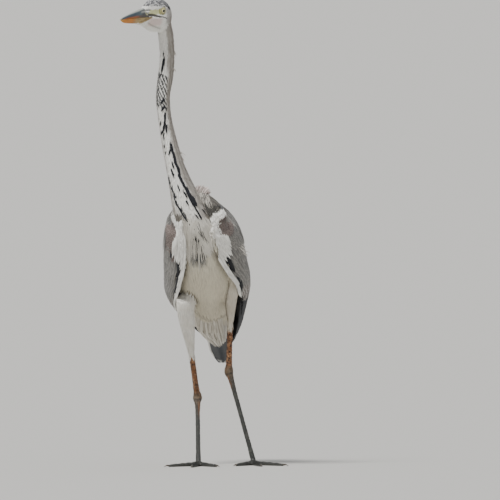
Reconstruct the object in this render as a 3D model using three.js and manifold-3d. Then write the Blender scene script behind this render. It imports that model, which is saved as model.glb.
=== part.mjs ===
// A grey heron standing tall and watchful: neck stretched up, head turned a little to its right,
// the right leg bent with its foot brought forward, the left leg straight and set out to the side.
// Millimetres, +Z up. The bird faces -Y, so +X is its left. Each named mesh is one part of the body.
import * as THREE from "three";
import { mergeVertices } from "three/addons/utils/BufferGeometryUtils.js";
import Module from "manifold-3d";

const wasm = await Module();
wasm.setup();

// ---------------------------------------------------------------- driving dimensions
const GAP = 0.3; // left between parts that meet
const HEAD_TURN = THREE.MathUtils.degToRad(-21); // about +Z, towards the bird's right
const HEAD_NOD = THREE.MathUtils.degToRad(1.5); // bill tip down
const EYE_LINE = new THREE.Vector3(-69.2, -128, 820); // middle of the head, between the eyes
const EYE_RADIUS = 6.2;
const EYE_OUT = 12; // eye's centre from the middle of the head
const BILL_TIP = 134.5; // from the eye line
const MOUTH = -9.8; // height of the closed mouth, below the eyes
const SOLE = 1.4; // how far toes and pads are flattened on the ground
const FEATHERS_END = { right: 0.57, left: 0.58 }; // share of the shin that is feathered

// ---------------------------------------------------------------- materials
const paint = (color, roughness = 0.75) => new THREE.MeshStandardMaterial({ color, roughness, metalness: 0 });
const whitePlumage = paint(0xd9d6cc, 0.85);
const greyPlumage = paint(0x9c9a98, 0.85);
const blackPlumage = paint(0x2b2c31, 0.7);
const headPlumage = paint(0xdcdad2, 0.8);
const billHorn = paint(0x5d6266, 0.45);
const billOrange = paint(0xc9822f, 0.45);
const eyeGloss = paint(0xd8c659, 0.12);
const legSkin = paint(0xa5683c, 0.6);
const tarsusSkin = paint(0x4d4c48, 0.6);
const clawHorn = paint(0x2c2926, 0.4);

// ---------------------------------------------------------------- solids
// A closed surface over rings of points, each ring the same count, with a fan over each end.
function skinRings(rings) {
  const sides = rings[0].length;
  const points = rings.flat();
  const index = [];
  for (let r = 0; r + 1 < rings.length; r++) {
    for (let s = 0; s < sides; s++) {
      const a = r * sides + s;
      const b = r * sides + ((s + 1) % sides);
      index.push(a, b, a + sides, b, b + sides, a + sides);
    }
  }
  for (const [ring, turned] of [[0, true], [rings.length - 1, false]]) {
    const middle = points.length;
    const total = rings[ring].reduce((sum, p) => sum.add(p), new THREE.Vector3());
    points.push(total.divideScalar(sides));
    for (let s = 0; s < sides; s++) {
      const a = ring * sides + s;
      const b = ring * sides + ((s + 1) % sides);
      index.push(...(turned ? [b, a, middle] : [a, b, middle]));
    }
  }
  const geometry = new THREE.BufferGeometry().setFromPoints(points);
  geometry.setIndex(index);
  return facingOut(geometry);
}

// Turns a closed surface's faces round if they point inwards.
function facingOut(geometry) {
  const at = geometry.getAttribute("position");
  const index = geometry.getIndex().array;
  const [a, b, c] = [new THREE.Vector3(), new THREE.Vector3(), new THREE.Vector3()];
  let volume = 0;
  for (let i = 0; i < index.length; i += 3) {
    a.fromBufferAttribute(at, index[i]);
    b.fromBufferAttribute(at, index[i + 1]);
    c.fromBufferAttribute(at, index[i + 2]);
    volume += a.dot(b.cross(c));
  }
  if (volume < 0) {
    for (let i = 0; i < index.length; i += 3) {
      [index[i + 1], index[i + 2]] = [index[i + 2], index[i + 1]];
    }
  }
  return geometry;
}

// A power curve's point at an angle: 2 is an ellipse, more is squarer, less is more pointed.
function superellipse(angle, power) {
  const round = (x) => Math.sign(x) * Math.abs(x) ** (2 / power);
  return [round(Math.cos(angle)), round(Math.sin(angle))];
}

// A limb or trunk: stations of [x, y, z, half width, reach towards `face`, reach away from it].
// It runs from share `from` to share `to` of the way along the stations, and `grow` thickens it all over.
function limb(stations, form) {
  const { face, rings, sides, power = 2, from = 0, to = 1, grow = 0, floor = null } = form;
  const path = new THREE.CatmullRomCurve3(stations.map((s) => new THREE.Vector3(s[0], s[1], s[2])));
  const sizes = new THREE.CatmullRomCurve3(stations.map((s) => new THREE.Vector3(s[3], s[4], s[5])));
  const made = [];
  for (let r = 0; r < rings; r++) {
    const t = from + ((to - from) * r) / (rings - 1);
    const centre = path.getPoint(t);
    const along = path.getTangent(t);
    if (r === 0) centre.addScaledVector(along, -grow);
    if (r === rings - 1) centre.addScaledVector(along, grow);
    const up = face.clone().addScaledVector(along, -face.dot(along)).normalize();
    const side = new THREE.Vector3().crossVectors(up, along);
    const size = sizes.getPoint(t).addScalar(grow);
    made.push(Array.from({ length: sides }, (_, s) => {
      const [across, high] = superellipse((2 * Math.PI * s) / sides, power);
      const point = centre.clone().addScaledVector(side, across * size.x);
      point.addScaledVector(up, high * (high > 0 ? size.y : size.z));
      if (floor !== null) point.z = Math.max(point.z, floor);
      return point;
    }));
  }
  return skinRings(made);
}

// A geometry as a manifold-3d solid.
function solid(geometry, matrix = null) {
  const bare = new THREE.BufferGeometry().setAttribute("position", geometry.getAttribute("position").clone());
  bare.setIndex(geometry.getIndex());
  if (matrix) bare.applyMatrix4(matrix);
  const merged = mergeVertices(bare, 1e-3);
  return new wasm.Manifold(new wasm.Mesh({
    numProp: 3,
    vertProperties: merged.getAttribute("position").array,
    triVerts: new Uint32Array(merged.getIndex().array),
  }));
}

// A solid's largest piece as a geometry: slivers that a cut leaves loose are dropped.
function fromSolid(made) {
  const pieces = made.decompose();
  const largest = pieces.reduce((best, piece) => (piece.volume() > best.volume() ? piece : best));
  const mesh = largest.getMesh();
  const geometry = new THREE.BufferGeometry();
  geometry.setAttribute("position", new THREE.BufferAttribute(new Float32Array(mesh.vertProperties), 3));
  geometry.setIndex(new THREE.BufferAttribute(new Uint32Array(mesh.triVerts), 1));
  return geometry;
}

// The first geometry less all the others.
function cut(geometry, ...others) {
  return fromSolid(others.reduce((left, other) => left.subtract(solid(other)), solid(geometry)));
}

const DORSAL = new THREE.Vector3(0, 0, 1);
const FORWARD = new THREE.Vector3(0, -1, 0);

// ---------------------------------------------------------------- trunk and tail
// Body held at about 40 degrees: breast high in front, belly running down and back to the tail.
const TRUNK = [
  [-2, -66, 494, 9, 8, 8],
  [-1, -60, 482, 27, 24, 26],
  [0, -48, 460, 43, 42, 44],
  [0, -30, 434, 52, 57, 57],
  [0, -5, 402, 57, 64, 66],
  [0, 28, 368, 59, 66, 68],
  [0, 66, 333, 56, 60, 62],
  [0, 106, 300, 47, 46, 48],
  [0, 146, 272, 39, 31, 33],
  [0, 184, 249, 31, 18, 20],
  [0, 218, 229, 22, 9, 12],
  [0, 240, 217, 10, 4, 5],
];
const TAIL = [
  [0, 176, 256, 18, 9, 8],
  [0, 212, 237, 22, 7, 6],
  [0, 250, 212, 21, 4, 4],
  [0, 282, 189, 18, 2.6, 2.6],
  [0, 296, 179.5, 11, 1.6, 1.6],
];
const TRUNK_SHAPE = { face: DORSAL, rings: 22, sides: 18 };
const TAIL_SHAPE = { face: DORSAL, rings: 9, sides: 12 };
const trunkRoom = limb(TRUNK, { ...TRUNK_SHAPE, grow: GAP });
const tailRoom = limb(TAIL, { ...TAIL_SHAPE, grow: GAP });
const trunk = limb(TRUNK, TRUNK_SHAPE);
const tail = cut(limb(TAIL, TAIL_SHAPE), trunkRoom);

// ---------------------------------------------------------------- head
// Stations run from the nape forwards along -Y: [x, y, z, half width, up, down], from the eye line.
const HEAD = [
  [0, 45, -5, 3, 3, 4],
  [0, 41, -5.5, 10, 12, 17],
  [0, 31, -7, 15.6, 22.5, 29],
  [0, 15, -8, 18.4, 30, 31.5],
  [0, 0, -8.5, 18.6, 31.5, 31],
  [0, -17, -9.5, 16.2, 30, 28.5],
  [0, -33, -10.5, 12.6, 25.5, 24],
  [0, -46, -12, 9.6, 18, 18],
  [0, -60, -17, 7, 7.6, 8.6],
  [0, -72, -20.4, 4, 2.2, 2.8],
  [0, -76, -21, 1.4, 0.8, 0.8],
];
const UPPER_BILL = [
  [0, -32, MOUTH, 9.6, 15.6, GAP],
  [0, -54, MOUTH, 8.8, 15.6, GAP],
  [0, -79, MOUTH - 0.3, 6.5, 11.4, GAP],
  [0, -104, MOUTH - 0.9, 4.4, 7.2, GAP],
  [0, -125, MOUTH - 1.9, 2.2, 3.2, GAP],
  [0, -BILL_TIP, MOUTH - 2.7, 0.6, 0.6, GAP],
];
const LOWER_BILL = [
  [0, 2, MOUTH - 4, 10, GAP, 6],
  [0, -36, MOUTH - 1, 9.4, GAP, 9.4],
  [0, -71, MOUTH - 1.3, 6.8, GAP, 9.9],
  [0, -101, MOUTH - 1.9, 4.6, GAP, 8.6],
  [0, -123, MOUTH - 2.8, 2.6, GAP, 5.6],
  [0, 1.5 - BILL_TIP, MOUTH - 3.6, 0.6, GAP, 0.6],
];
const BILL_SHAPE = { face: DORSAL, rings: 10, sides: 12, power: 1.8 };
const bills = [UPPER_BILL, LOWER_BILL].map((stations) => limb(stations, BILL_SHAPE));
const billRooms = [UPPER_BILL, LOWER_BILL].map((stations) => limb(stations, { ...BILL_SHAPE, grow: GAP }));

const eyeball = (side, radius) => new THREE.SphereGeometry(radius, 12, 8).translate(side * EYE_OUT, 0, 0);
const headForm = (grow) => limb(HEAD, { face: DORSAL, rings: 17, sides: 14, grow });
const head = cut(headForm(0), ...billRooms, eyeball(1, EYE_RADIUS + GAP), eyeball(-1, EYE_RADIUS + GAP));

const headGroup = new THREE.Group();
headGroup.position.copy(EYE_LINE);
headGroup.rotation.set(HEAD_NOD, 0, HEAD_TURN, "ZXY");
headGroup.updateMatrix();

// ---------------------------------------------------------------- neck
// From inside the breast to inside the head, with the slight kink of the sixth vertebra two thirds up.
const NECK = [
  [3, -36, 392, 30, 26, 30],
  [-5, -60, 432, 34, 33, 44],
  [-18, -76, 468, 29, 30, 40],
  [-28.5, -86, 504, 22, 24, 31],
  [-38.7, -92, 540, 17, 19, 23],
  [-49, -96, 585, 14.2, 16, 18],
  [-56.9, -100, 630, 12.3, 14.5, 16],
  [-59.5, -102, 666, 12.7, 15, 16],
  [-55.3, -96, 702, 14, 16, 16.5],
  [-53.1, -93, 738, 13.6, 15.5, 16],
  [-54.8, -98, 774, 14.2, 15.5, 16.5],
  [-57.5, -108, 800, 13, 13, 13],
];
const NECK_CUTS = [0, 0.41, 0.66, 1]; // shares of the way up where the lengths meet
const NECK_LENGTH = 440;
const neckNames = ["neck_lower", "neck_middle", "neck_upper"];
const neckLength = (i, grow) => limb(NECK, {
  face: FORWARD,
  rings: 9,
  sides: 14,
  from: NECK_CUTS[i],
  to: NECK_CUTS[i + 1] - (i < 2 ? GAP / NECK_LENGTH : 0),
  grow,
});
const neckLengths = neckNames.map((_, i) => neckLength(i, 0));
neckLengths[0] = cut(neckLengths[0], trunkRoom);
const headRoom = headForm(GAP).applyMatrix4(headGroup.matrix);
neckLengths[2] = cut(neckLengths[2], headRoom);

// ---------------------------------------------------------------- legs
// Shins run from the hidden knee to the hock, tarsi from the hock to the toes.
const LEGS = {
  right: {
    knee: [-36, 8, 302],
    hock: [-24.2, 112, 120],
    foot: [-7, -12, 0],
    heading: 0,
    thigh: [17, 18, 22],
  },
  left: {
    knee: [51, 8, 364],
    hock: [37.6, 74, 169],
    foot: [84.5, 54, 0],
    heading: 16,
    thigh: [16, 18, 21],
  },
};
const HOCK = { wide: 7.8, deep: 8.6, high: 11.5 };
const SHIN = { wide: 4.9, deep: 5.2 };
const TARSUS = { wide: 3.5, deep: 4.2 };

const between = (a, b, share) => a.map((value, i) => value + (b[i] - value) * share);

// The feathered shin swells from the knee and closes on the bare shin like a sleeve.
function thighForm(leg, end, grow) {
  const [wide, fore, aft] = leg.thigh;
  const swell = [[0, 0.9], [0.25, 1.0], [0.5, 0.84], [0.75, 0.6], [0.93, 0.44], [1, 0.34]];
  const stations = swell.map(([share, size]) => [
    ...between(leg.knee, leg.hock, share * end),
    wide * size,
    fore * size,
    aft * size,
  ]);
  return limb(stations, { face: FORWARD, rings: 9, sides: 12, grow });
}

function shinForm(leg, end, grow) {
  const stations = [[end - 0.08, 1], [end + 0.1, 1], [0.82, 0.96], [0.93, 1.12], [1, 1.35]];
  return limb(
    stations.map(([share, size]) => [
      ...between(leg.knee, leg.hock, share),
      SHIN.wide * size,
      SHIN.deep * size,
      SHIN.deep * size,
    ]),
    { face: FORWARD, rings: 6, sides: 8, grow },
  );
}

// The hock joint: an upright egg at the meeting of shin and tarsus.
function hockForm(leg, grow) {
  const [x, y, z] = leg.hock;
  const stations = [[-1, 0.25], [-0.72, 0.72], [-0.2, 1], [0.3, 0.98], [0.78, 0.72], [1, 0.3]];
  return limb(
    stations.map(([share, size]) => [
      x,
      y,
      z + share * HOCK.high,
      HOCK.wide * size,
      HOCK.deep * size,
      HOCK.deep * size,
    ]),
    { face: FORWARD, rings: 8, sides: 10, grow },
  );
}

// ---------------------------------------------------------------- feet
const ANKLE_HEIGHT = 9; // where the tarsus meets the toes
const TOE_START = 17; // toes leave the pad this far from its middle
const PAD_RISE = 0.12; // slope of the pad, up from there to its middle
const TOES = [
  { name: "inner", angle: -34, length: 70, radius: 4.2, joints: 2, claw: 14 },
  { name: "middle", angle: 0, length: 88, radius: 4.4, joints: 3, claw: 16 },
  { name: "outer", angle: 36, length: 76, radius: 4.1, joints: 4, claw: 13 },
  { name: "hind", angle: 174, length: 50, radius: 4.1, joints: 1, claw: 19 },
];
const TOE_TIP = 0.66; // a toe's radius at the claw, as a share of its radius at the pad

const toeRay = (degrees, side) => {
  const angle = THREE.MathUtils.degToRad(degrees * side);
  return [Math.sin(angle), -Math.cos(angle)];
};

// A toe lies along the ground, fuller at each joint, its underside pressed flat.
function toeForm(toe, side, from, to, ease) {
  const [dx, dy] = toeRay(toe.angle, side);
  const steps = ease ? 4 + toe.joints : 3;
  const stations = Array.from({ length: steps }, (_, i) => {
    const share = i / (steps - 1);
    const reach = from + (to - from) * share;
    const taper = 1 + (TOE_TIP - 1) * ((reach - TOE_START) / (toe.length - TOE_START));
    const knuckle = 1 + ease * 0.1 * (i % 2);
    const radius = toe.radius * taper * knuckle;
    const lift = radius - SOLE + Math.max(0, TOE_START - reach) * PAD_RISE;
    return [dx * reach, dy * reach, lift, radius, radius, radius];
  });
  return limb(stations, { face: DORSAL, rings: steps, sides: 8, floor: 0 });
}

// A claw curves down from the toe's end to the ground.
function clawForm(toe, side) {
  const [dx, dy] = toeRay(toe.angle, side);
  const radius = toe.radius * TOE_TIP * 0.8;
  const stations = Array.from({ length: 5 }, (_, i) => {
    const share = i / 4;
    const reach = toe.length + 3 * GAP + toe.claw * share;
    const size = Math.max(0.35, radius * (1 - share) ** 0.7);
    const arch = radius + 1.1 * Math.sin(Math.PI * share) - radius * 0.85 * share ** 2;
    return [dx * reach, dy * reach, Math.max(arch, 0.3), size * 0.8, size, size];
  });
  return limb(stations, { face: DORSAL, rings: 5, sides: 6, floor: 0 });
}

// The tarsus with the pad that the toes spread from, as one piece.
function tarsusForm(leg, side, end) {
  const [fx, fy] = leg.foot;
  const ankle = [fx, fy, ANKLE_HEIGHT];
  const stations = [[0, 1.75], [0.06, 1.6], [0.14, 1.22], [0.3, 1], [0.8, 1.02], [0.93, 1.2], [1, 1.25]];
  const shaft = limb(
    stations.map(([share, size]) => [
      ...between(leg.hock, ankle, share),
      TARSUS.wide * size,
      TARSUS.deep * size,
      TARSUS.deep * size,
    ]),
    { face: FORWARD, rings: 8, sides: 8, floor: 0 },
  );
  const place = footMatrix(leg);
  const pastMiddle = -3; // so that the stubs of the pad join
  const stubs = TOES.map((toe) => solid(toeForm(toe, side, pastMiddle, TOE_START - 3 * GAP, 0), place));
  const joined = stubs.reduce((sum, stub) => sum.add(stub), solid(shaft));
  return cut(fromSolid(joined), hockForm(leg, GAP), shinForm(leg, end, GAP));
}

function footMatrix(leg) {
  const turn = new THREE.Matrix4().makeRotationZ(THREE.MathUtils.degToRad(leg.heading));
  return turn.setPosition(leg.foot[0], leg.foot[1], 0);
}

// ---------------------------------------------------------------- wings
// The folded wing hangs from the shoulder like a leaf: its lower edge crosses the flank, its upper
// edge meets the other wing's over the back, and between them it bows out round the body.
// Each station, from the wrist to the tip: lower edge, upper edge, bow outwards and thickness.
const WINGS = {
  right: [
    [[42, -80, 449], [46, -60, 467], 5, 11],
    [[23, -82, 412], [25, -8, 481], 29.5, 17],
    [[29, -44, 358], [8, 62, 438], 43, 16],
    [[41, -12, 321], [5, 112, 382], 43, 14],
    [[56, 44, 286], [5, 160, 320], 37, 12],
    [[42, 150, 250], [9, 224, 258], 14, 7],
    [[17, 268, 217], [13, 271, 223], 1, 3],
  ],
  left: [
    [[42, -80, 449], [46, -60, 467], 5, 11],
    [[22, -82, 416], [23, -8, 478], 25.5, 17],
    [[31, -62, 385], [8, 62, 438], 41, 16],
    [[47, -28, 350], [5, 112, 382], 40, 14],
    [[63, 18, 314], [5, 160, 320], 33, 12],
    [[46, 146, 248], [9, 224, 252], 14, 7],
    [[17, 268, 210], [14, 271, 214], 1, 3],
  ],
};
const WING_RINGS = 18;
const WING_SIDES = 14;

function wingForm(name, side) {
  const curve = (points) => new THREE.CatmullRomCurve3(points.map(([x, y, z]) => new THREE.Vector3(x, y, z)));
  const edge = (which) => curve(WINGS[name].map(({ [which]: [x, y, z] }) => [side * x, y, z]));
  const lower = edge(0);
  const upper = edge(1);
  const sizes = curve(WINGS[name].map(([, , bow, thick]) => [bow, thick, 0]));
  const rings = Array.from({ length: WING_RINGS }, (_, r) => {
    const t = r / (WING_RINGS - 1);
    const low = lower.getPoint(t);
    const high = upper.getPoint(t);
    const { x: bow, y: thick } = sizes.getPoint(t); // the size curve's x and y
    const chord = high.clone().sub(low);
    const along = lower.getTangent(t).add(upper.getTangent(t));
    const out = new THREE.Vector3().crossVectors(along, chord).normalize();
    if (out.x * side < 0) out.negate();
    return Array.from({ length: WING_SIDES }, (_, s) => {
      const [across, depth] = superellipse((2 * Math.PI * s) / WING_SIDES, 2.2);
      const point = low.clone().addScaledVector(chord, (1 + across) / 2);
      return point.addScaledVector(out, Math.max(bow, 0) * (1 - Math.abs(across) ** 3) + (depth * thick) / 2);
    });
  });
  return skinRings(rings);
}

// A large block whose upper face is the slanting line where the black flight feathers come out
// from under the grey coverts.
function flightBlock(shift) {
  const block = new THREE.BoxGeometry(400, 400, 400).translate(0, 0, -200 + shift);
  const slant = new THREE.Matrix4().makeRotationX(THREE.MathUtils.degToRad(-14));
  return block.applyMatrix4(slant).translate(0, 60, 288);
}

// ---------------------------------------------------------------- assembly
const heron = new THREE.Group();
const put = (parent, name, geometry, material) => {
  const mesh = new THREE.Mesh(geometry, material);
  mesh.name = name;
  parent.add(mesh);
  return mesh;
};

put(heron, "trunk", trunk, whitePlumage);
put(heron, "tail", tail, greyPlumage);
neckNames.forEach((name, i) => put(heron, name, neckLengths[i], whitePlumage));

heron.add(headGroup);
put(headGroup, "head", head, headPlumage);
put(headGroup, "bill_upper", bills[0], billHorn);
put(headGroup, "bill_lower", bills[1], billOrange);
put(headGroup, "eye_left", eyeball(1, EYE_RADIUS), eyeGloss);
put(headGroup, "eye_right", eyeball(-1, EYE_RADIUS), eyeGloss);

for (const [name, side] of [["left", 1], ["right", -1]]) {
  const leg = LEGS[name];
  const end = FEATHERS_END[name];
  const thighRoom = thighForm(leg, end, GAP);
  const wing = cut(wingForm(name, side), trunkRoom, neckLength(0, GAP), thighRoom, tailRoom);
  const flight = fromSolid(solid(wing).intersect(solid(flightBlock(-GAP / 2))));
  put(heron, `wing_${name}`, cut(wing, flightBlock(GAP / 2)), greyPlumage);
  put(heron, `primaries_${name}`, flight, blackPlumage);
  put(heron, `thigh_${name}`, cut(thighForm(leg, end, 0), trunkRoom), whitePlumage);
  put(heron, `shin_${name}`, cut(shinForm(leg, end, 0), thighRoom, hockForm(leg, GAP)), legSkin);
  put(heron, `hock_${name}`, hockForm(leg, 0), legSkin);
  put(heron, `tarsus_${name}`, tarsusForm(leg, side, end), tarsusSkin);

  const foot = new THREE.Group();
  foot.position.set(leg.foot[0], leg.foot[1], 0);
  foot.rotation.z = THREE.MathUtils.degToRad(leg.heading);
  heron.add(foot);
  for (const toe of TOES) {
    put(foot, `toe_${toe.name}_${name}`, toeForm(toe, side, TOE_START, toe.length, 1), tarsusSkin);
    put(foot, `claw_${toe.name}_${name}`, clawForm(toe, side), clawHorn);
  }
}

// The origin is on the ground, under the middle of the whole bird.
heron.updateMatrixWorld(true);
const bounds = new THREE.Box3().setFromObject(heron, true);
const middle = bounds.getCenter(new THREE.Vector3());
heron.position.set(-middle.x, -middle.y, -bounds.min.z);

export default heron;
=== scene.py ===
"""A grey heron standing watchful, as a museum shows it: skin, horn, eyes and a coat of solid feathers over
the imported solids. The bird faces -Y and its left is +X. Shapes are worked out in millimetres from the bird's
own origin, on the ground under its hips, and go into the frame in metres when each mesh is made."""
import math

import bmesh
import bpy
import numpy as np
from mathutils import Matrix, Vector
from mathutils.bvhtree import BVHTree
from mathutils.kdtree import KDTree
from mathutils.noise import noise


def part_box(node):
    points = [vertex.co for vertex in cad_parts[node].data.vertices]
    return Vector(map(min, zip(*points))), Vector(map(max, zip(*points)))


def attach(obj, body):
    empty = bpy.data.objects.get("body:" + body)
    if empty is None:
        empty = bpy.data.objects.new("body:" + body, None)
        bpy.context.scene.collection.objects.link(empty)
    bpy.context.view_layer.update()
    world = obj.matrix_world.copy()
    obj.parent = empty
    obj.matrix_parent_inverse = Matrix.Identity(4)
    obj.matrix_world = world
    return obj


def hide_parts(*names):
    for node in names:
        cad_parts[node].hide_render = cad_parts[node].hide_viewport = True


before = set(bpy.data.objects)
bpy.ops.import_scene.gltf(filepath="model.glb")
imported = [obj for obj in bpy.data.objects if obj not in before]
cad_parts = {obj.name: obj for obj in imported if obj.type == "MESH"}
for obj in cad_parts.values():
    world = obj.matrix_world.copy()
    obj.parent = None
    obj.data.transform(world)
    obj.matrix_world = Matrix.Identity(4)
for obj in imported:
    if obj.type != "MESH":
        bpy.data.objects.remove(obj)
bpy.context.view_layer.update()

MM = 0.001
SIDES = {"left": 1, "right": -1}


# ---------------------------------------------------------------- small sums
def unit(v):
    return v / np.maximum(np.linalg.norm(v, axis=-1, keepdims=True), 1e-9)


def ease(low, high, x):
    """0 below low, 1 above high, and a smooth step between; low may be the larger."""
    t = np.clip((np.asarray(x, float) - low) / (high - low), 0, 1)
    return t * t * (3 - 2 * t)


def bell(x, middle, width):
    return np.exp(-(((np.asarray(x, float) - middle) / width) ** 2))


def mix(a, b, share):
    """Colour a with a share of b over it; either may be a hex code, one colour or one to a place."""
    a, b = (linear(colour) if isinstance(colour, str) else colour for colour in (a, b))
    share = np.asarray(share, float)[..., None]
    return a * (1 - share) + b * share


def linear(code):
    """An sRGB hex colour as linear light."""
    c = np.array([int(code[i : i + 2], 16) for i in (1, 3, 5)]) / 255
    return np.where(c <= 0.04045, c / 12.92, ((c + 0.055) / 1.055) ** 2.4)


def spline(points, share):
    """A smooth curve through points, at shares of its length in steps."""
    points = np.asarray(points, float)
    last = len(points) - 1
    x = np.clip(np.asarray(share, float), 0, 1) * last
    i = np.minimum(x.astype(int), last - 1)
    f = (x - i)[..., None]
    ends = np.vstack([2 * points[0] - points[1], points, 2 * points[-1] - points[-2]])
    a, b, c, d = (ends[i + k] for k in range(4))
    return 0.5 * (2 * b + (c - a) * f + (2 * a - 5 * b + 4 * c - d) * f**2 + (3 * b - a - 3 * c + d) * f**3)


def cloud(points, size, seed=0):
    """Soft noise from -1 to 1 at each point, with lumps of that size in millimetres."""
    shift = Vector((seed * 31.7, seed * 17.3, seed * 7.9))
    return np.array([noise(Vector(p) / size + shift) for p in points.tolist()])


def places_of(verts):
    return np.array([v.co[:] for v in verts])


def place_tree(points):
    """A tree that finds the nearest of many places."""
    tree = KDTree(len(points))
    for index, place in enumerate(points):
        tree.insert(place, index)
    tree.balance()
    return tree


def staggered(rng, count):
    """Shares from 0 to 1 in order, each a little astray."""
    return (np.arange(count) + rng.uniform(0, 1, count)) / count


def inset(*shares):
    """Columns of shares from 0 to 1 with a thin margin left on every side of the map."""
    return np.stack([0.02 + 0.96 * share for share in shares], 1)


def smooth_normals(normals, rounds):
    """Blends each inner normal of every row with its neighbours, in place."""
    for _ in range(rounds):
        normals[:, 1:-1] = unit(normals[:, :-2] + normals[:, 1:-1] + normals[:, 2:])


def smooth_heights(heights, rounds):
    """Blends each inner height of every row with its neighbours, in place."""
    for _ in range(rounds):
        heights[:, 1:-1] = (heights[:, :-2] + 2 * heights[:, 1:-1] + heights[:, 2:]) / 4


# ---------------------------------------------------------------- where the bird is
def middle(node):
    low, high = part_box(node)
    return (np.array(low) + np.array(high)) / 2


EYES = {side: middle(f"eye_{side}") for side in SIDES}
EYE_RADIUS = (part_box("eye_left")[1].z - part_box("eye_left")[0].z) / 2 / MM
EYE_LINE = np.array([-69.2, -128.0, 820.0])  # middle of the head, between the eyes
ORIGIN = (EYES["left"] + EYES["right"]) / 2 - EYE_LINE * MM
HEAD_NOD = math.radians(1.5)
across = unit(EYES["left"] - EYES["right"])
back = np.cross([0, 0, 1], across)
HEAD_AXES = np.array([across, back, [0, 0, 1]]).T @ np.array(Matrix.Rotation(HEAD_NOD, 3, "X"))


def to_head(points):
    """Bird places as seen from between the eyes: x to its left, y to the nape, z to the crown."""
    return (points - EYE_LINE) @ HEAD_AXES


def from_head(points):
    return np.asarray(points, float) @ HEAD_AXES.T + EYE_LINE


NECK = np.array([
    [3, -36, 392], [-5, -60, 432], [-18, -76, 468], [-28.5, -86, 504], [-38.7, -92, 540], [-49, -96, 585],
    [-56.9, -100, 630], [-59.5, -102, 666], [-55.3, -96, 702], [-53.1, -93, 738], [-54.8, -98, 774],
    [-57.5, -108, 800],
], float)
TRUNK = np.array([
    [-2, -66, 494], [0, -48, 460], [0, -30, 434], [0, -5, 402], [0, 28, 368], [0, 66, 333], [0, 106, 300],
    [0, 146, 272], [0, 184, 249], [0, 240, 217],
], float)
LEGS = {
    "right": {"knee": (-36, 8, 302), "hock": (-24.2, 112, 120), "foot": (-7, -12, 9)},
    "left": {"knee": (51, 8, 364), "hock": (37.6, 74, 169), "foot": (84.5, 54, 9)},
}
BETWEEN_FEET = 15  # the x that parts the left leg from the right one
TOES = ("inner", "middle", "outer", "hind")


# ---------------------------------------------------------------- colours of the bird
WHITE = linear("#f1efe8")
CREAM = linear("#dfd9c6")
BUFF = linear("#bfb196")
PALE_GREY = linear("#b3ada4")
ASH = linear("#717174")
WARM_GREY = linear("#837a71")
SLATE = linear("#5b5f66")
MAUVE = linear("#63564f")
BLACK = linear("#1c1d21")
PINKISH = linear("#e2cac2")
LORE = linear("#cfcf9c")
SHIN = linear("#845534")
HOCK_HORN = linear("#75644f")
TARSUS_SLATE = linear("#3b3c39")
NOSTRIL_DARK = linear("#1d1f22")
# painted shade, for the tuck where breast and wing part
TUCK_SHADE = linear("#51493f")  # where breast and wing part
# painted shade, for the creases where belly and thighs meet
GROIN_SHADE = linear("#5b503e")
RIM_WHITE = linear("#dcdad4")


# ---------------------------------------------------------------- the skin under the coat
VOXEL = 1.6
SWELL = 0.45  # how far the flesh grows to close the cuts between solids
CORE_DEPTH = 1.1  # how far the bill's core lies under its horn
THINNED = 0.36  # the share of faces that is left where the coat hides them
FLESH = {
    "trunk": ("trunk", "tail"),
    "neck": ("neck_lower", "neck_middle", "neck_upper"),
    "head": ("head",),
    "wing_left": ("wing_left",),
    "wing_right": ("wing_right",),
    "thigh": ("thigh_left", "thigh_right"),
    "flight": ("primaries_left", "primaries_right"),
    "leg": tuple(
        f"{part}_{side}" for side in SIDES
        for part in ("shin", "hock", "tarsus", *(f"toe_{toe}" for toe in TOES))
    ),
}
COAT_DEPTH = {
    "trunk": 3.0, "neck": 1.5, "head": 0.9, "wing_left": 2.4, "wing_right": 2.4, "thigh": 1.8, "flight": 1.6,
    "leg": 0.0,
}
PARTS = list(FLESH)


def from_bmesh(name, bm):
    mesh = bpy.data.meshes.new(name)
    bm.to_mesh(mesh)
    return mesh


def copied(nodes):
    """A bmesh of CAD nodes in bird millimetres, with the loose triangles' doubles merged."""
    bm = bmesh.new()
    for node in nodes:
        bm.from_mesh(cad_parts[node].data)
    to_bird = Matrix.Scale(1 / MM, 4) @ Matrix.Translation(-Vector(ORIGIN))
    bmesh.ops.transform(bm, matrix=to_bird, verts=bm.verts)
    bmesh.ops.remove_doubles(bm, verts=bm.verts, dist=0.01)
    bm.normal_update()
    return bm


def with_modifier(mesh, kind, group=None, **settings):
    """The mesh after one modifier, applied. A group holds the vertices that the modifier may change."""
    carrier = bpy.data.objects.new("carrier", mesh)
    bpy.context.scene.collection.objects.link(carrier)
    modifier = carrier.modifiers.new(kind, kind)
    if group:
        settings["vertex_group"] = carrier.vertex_groups.new(name="group").name
        carrier.vertex_groups["group"].add(group, 1.0, "REPLACE")
    for name, value in settings.items():
        setattr(modifier, name, value)
    made = bpy.data.meshes.new_from_object(carrier.evaluated_get(bpy.context.evaluated_depsgraph_get()))
    bpy.data.objects.remove(carrier)
    return made


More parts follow.
